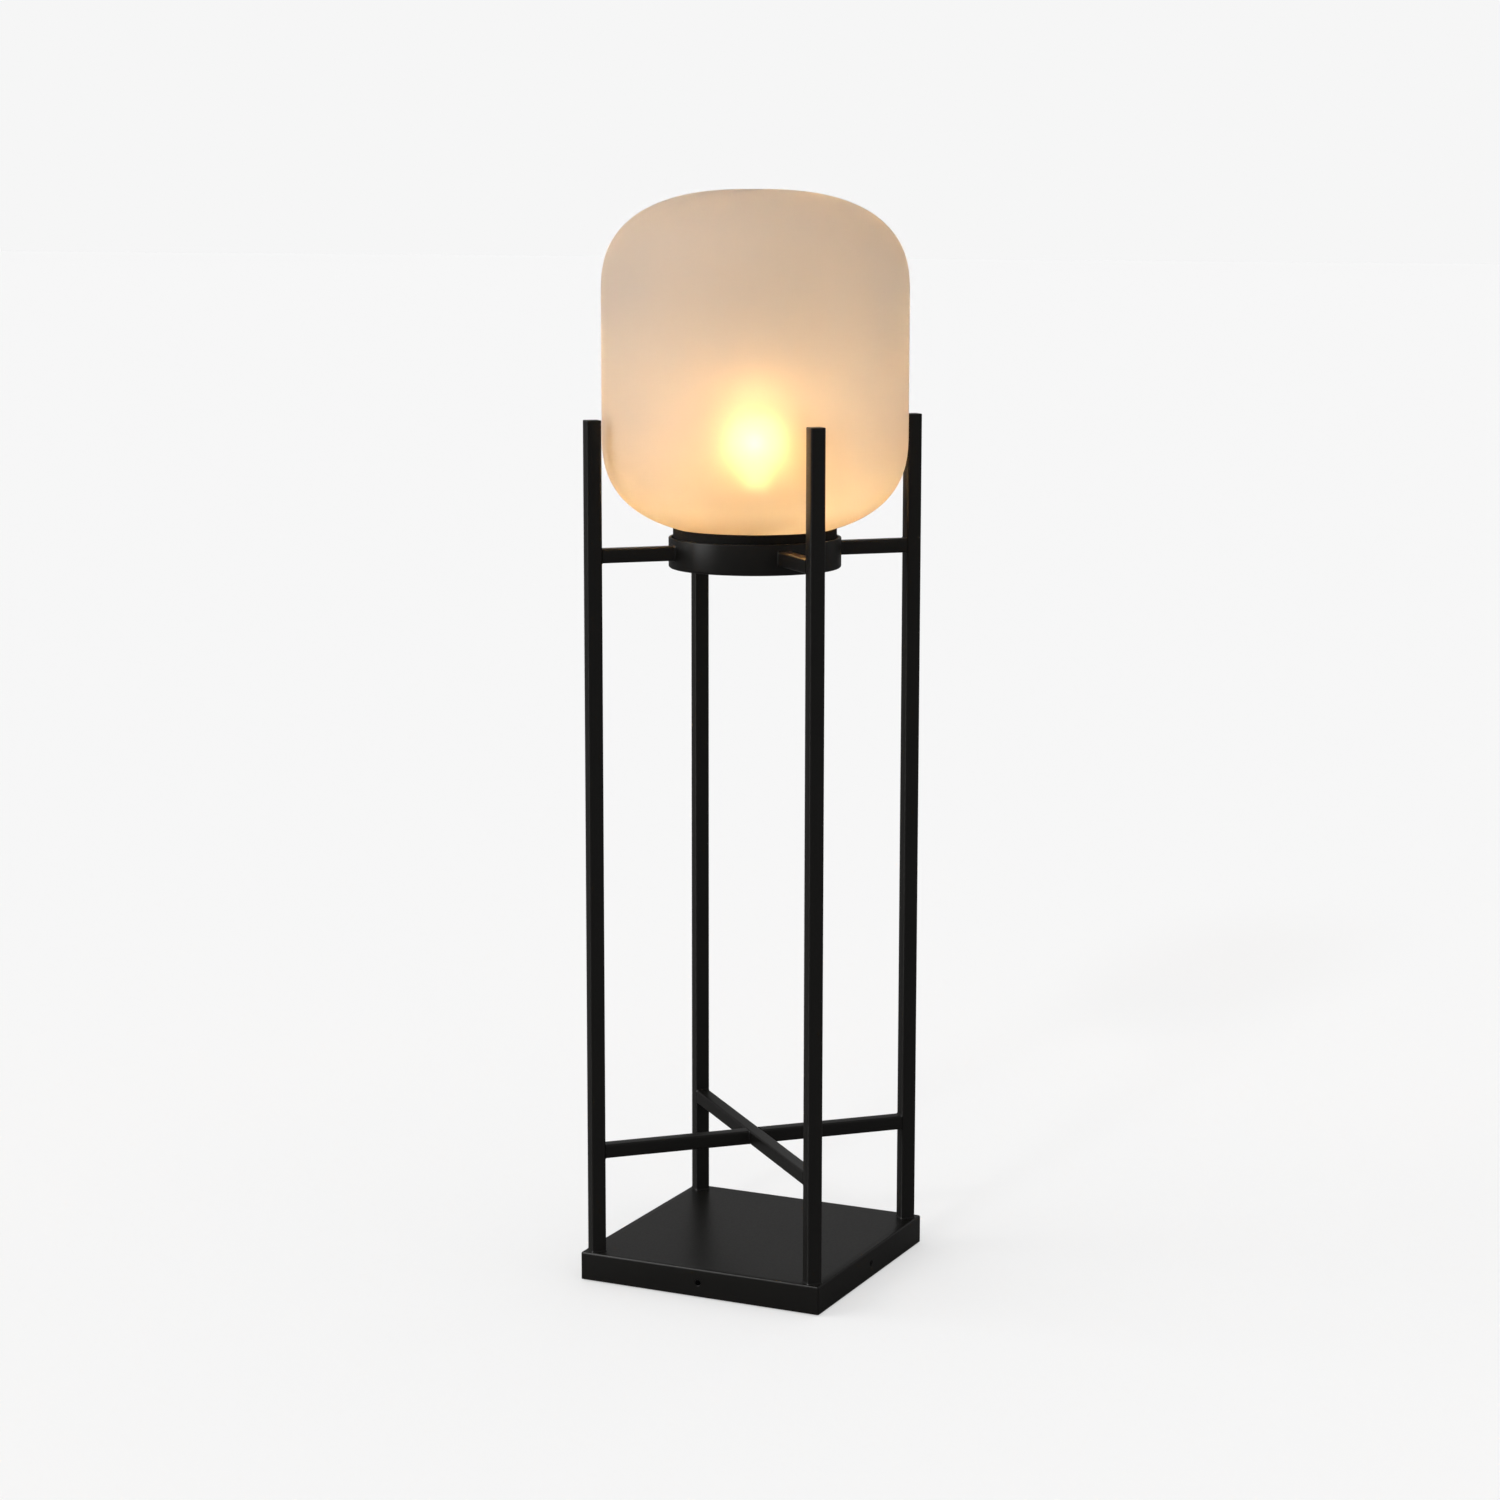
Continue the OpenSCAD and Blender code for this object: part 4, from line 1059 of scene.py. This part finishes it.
def roll_cap():
    """The bulb's cap: a rolled screw thread of one start, and a smooth skirt above it."""
    low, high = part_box("bulb_cap")[0].z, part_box("bulb_cap")[1].z
    skirt_low = high - 6 * MM
    thread_r, thread_depth, pitch, turns = 12.85 * MM, 0.25 * MM, 3.629 * MM, 8
    wave_steps, steps = 10, 64
    wave = []
    for i in range(wave_steps + 1):
        rise = i / wave_steps
        r = thread_r + thread_depth * math.cos(TURN * rise)
        wave.append((r, low - pitch + pitch * rise))
    bm = bmesh.new()
    bmesh.ops.spin(
        bm,
        geom=outline(bm, wave),
        cent=(0, 0, 0),
        axis=(0, 0, 1),
        dvec=(0, 0, pitch / steps),
        angle=turns * TURN,
        steps=turns * steps,
    )
    # Each turn's edge is merged with the next one's
    bmesh.ops.remove_doubles(bm, verts=bm.verts, dist=1e-5)
    # The ends are cut level and closed
    for level, side in ((low + 0.3 * MM, -1), (skirt_low + 0.2 * MM, 1)):
        cut = bmesh.ops.bisect_plane(
            bm,
            geom=bm.verts[:] + bm.edges[:] + bm.faces[:],
            plane_co=(0, 0, level),
            plane_no=(0, 0, side),
            clear_outer=True,
            dist=1e-7,
        )["geom_cut"]
        bmesh.ops.edgeloop_fill(bm, edges=only(bmesh.types.BMEdge, cut))
    skirt = bmesh.new()
    points = [(12.6, 0), (13.3, 0), (13.6, 0.3), (13.6, 5.8), (13.4, 6), (13.1, 6), (13.1, 0.5)]
    turned(skirt, closed(in_mm(points + [(12.6, 0.5)], skirt_low)), SOME)
    join(bm, skirt)
    keep_piece(bm, "rolled_bulb_cap", cap_metal, "bulb", "bulb_cap_metal", "bulb_cap", sharp=50)


place_camera()
light_studio()
lay_floor()
blow_glass()
stand_posts()
plug_posts()
weld_braces()
weld_arms()
fold_cover()
drive_screws()
roll_collar()
mould_gasket()
press_inlet()
mould_lampholder()
blow_bulb()
roll_cap()

# The CAD nodes' finishes
FINISHES = {
    powder_coat: [
        "base_cover", "post_front_left", "post_front_right", "post_back_right", "post_back_left",
        "post_caps", "brace_long", "brace_half_left", "brace_half_right", "arm_front_left",
        "arm_front_right", "arm_back_right", "arm_back_left", "collar_ring", "holder_disc",
        "collar_under_cover", "shade_gallery",
    ],
    mill_steel: ["base_ballast"],
    tray_paint: ["base_tray"],
    zinc: [
        "tray_screws", "foot_inserts", "post_bolts", "post_washers", "wire_foot_insert",
        "wire_foot_washer", "wire_foot_nut", "gallery_screws", "cover_screws", "holder_washer",
        "holder_nut", "terminal_screws",
    ],
    rubber: ["rubber_feet", "shade_gasket", "cord_inlet"],
    brass: [
        "wire_foot_nipple", "collar_standoffs", "holder_nipple", "lampholder_thread",
        "lampholder_tongue", "lampholder_terminals",
    ],
    phenolic: ["lampholder_cup", "lampholder_sleeve"],
    porcelain: ["lampholder_core"],
    bulb_glass_lit: ["bulb_glass"],
    cap_metal: ["bulb_cap", "bulb_contact"],
    insulator_glass: ["bulb_insulator"],
    clear_stem: ["bulb_stem"],
    hot_wire: ["bulb_filament"],
    polyamide: ["terminal_block"],
    sheath: ["internal_lead"],
}

for finish, names in FINISHES.items():
    for name in names:
        slots = nodes[name].data.materials
        slots.clear()
        slots.append(finish)
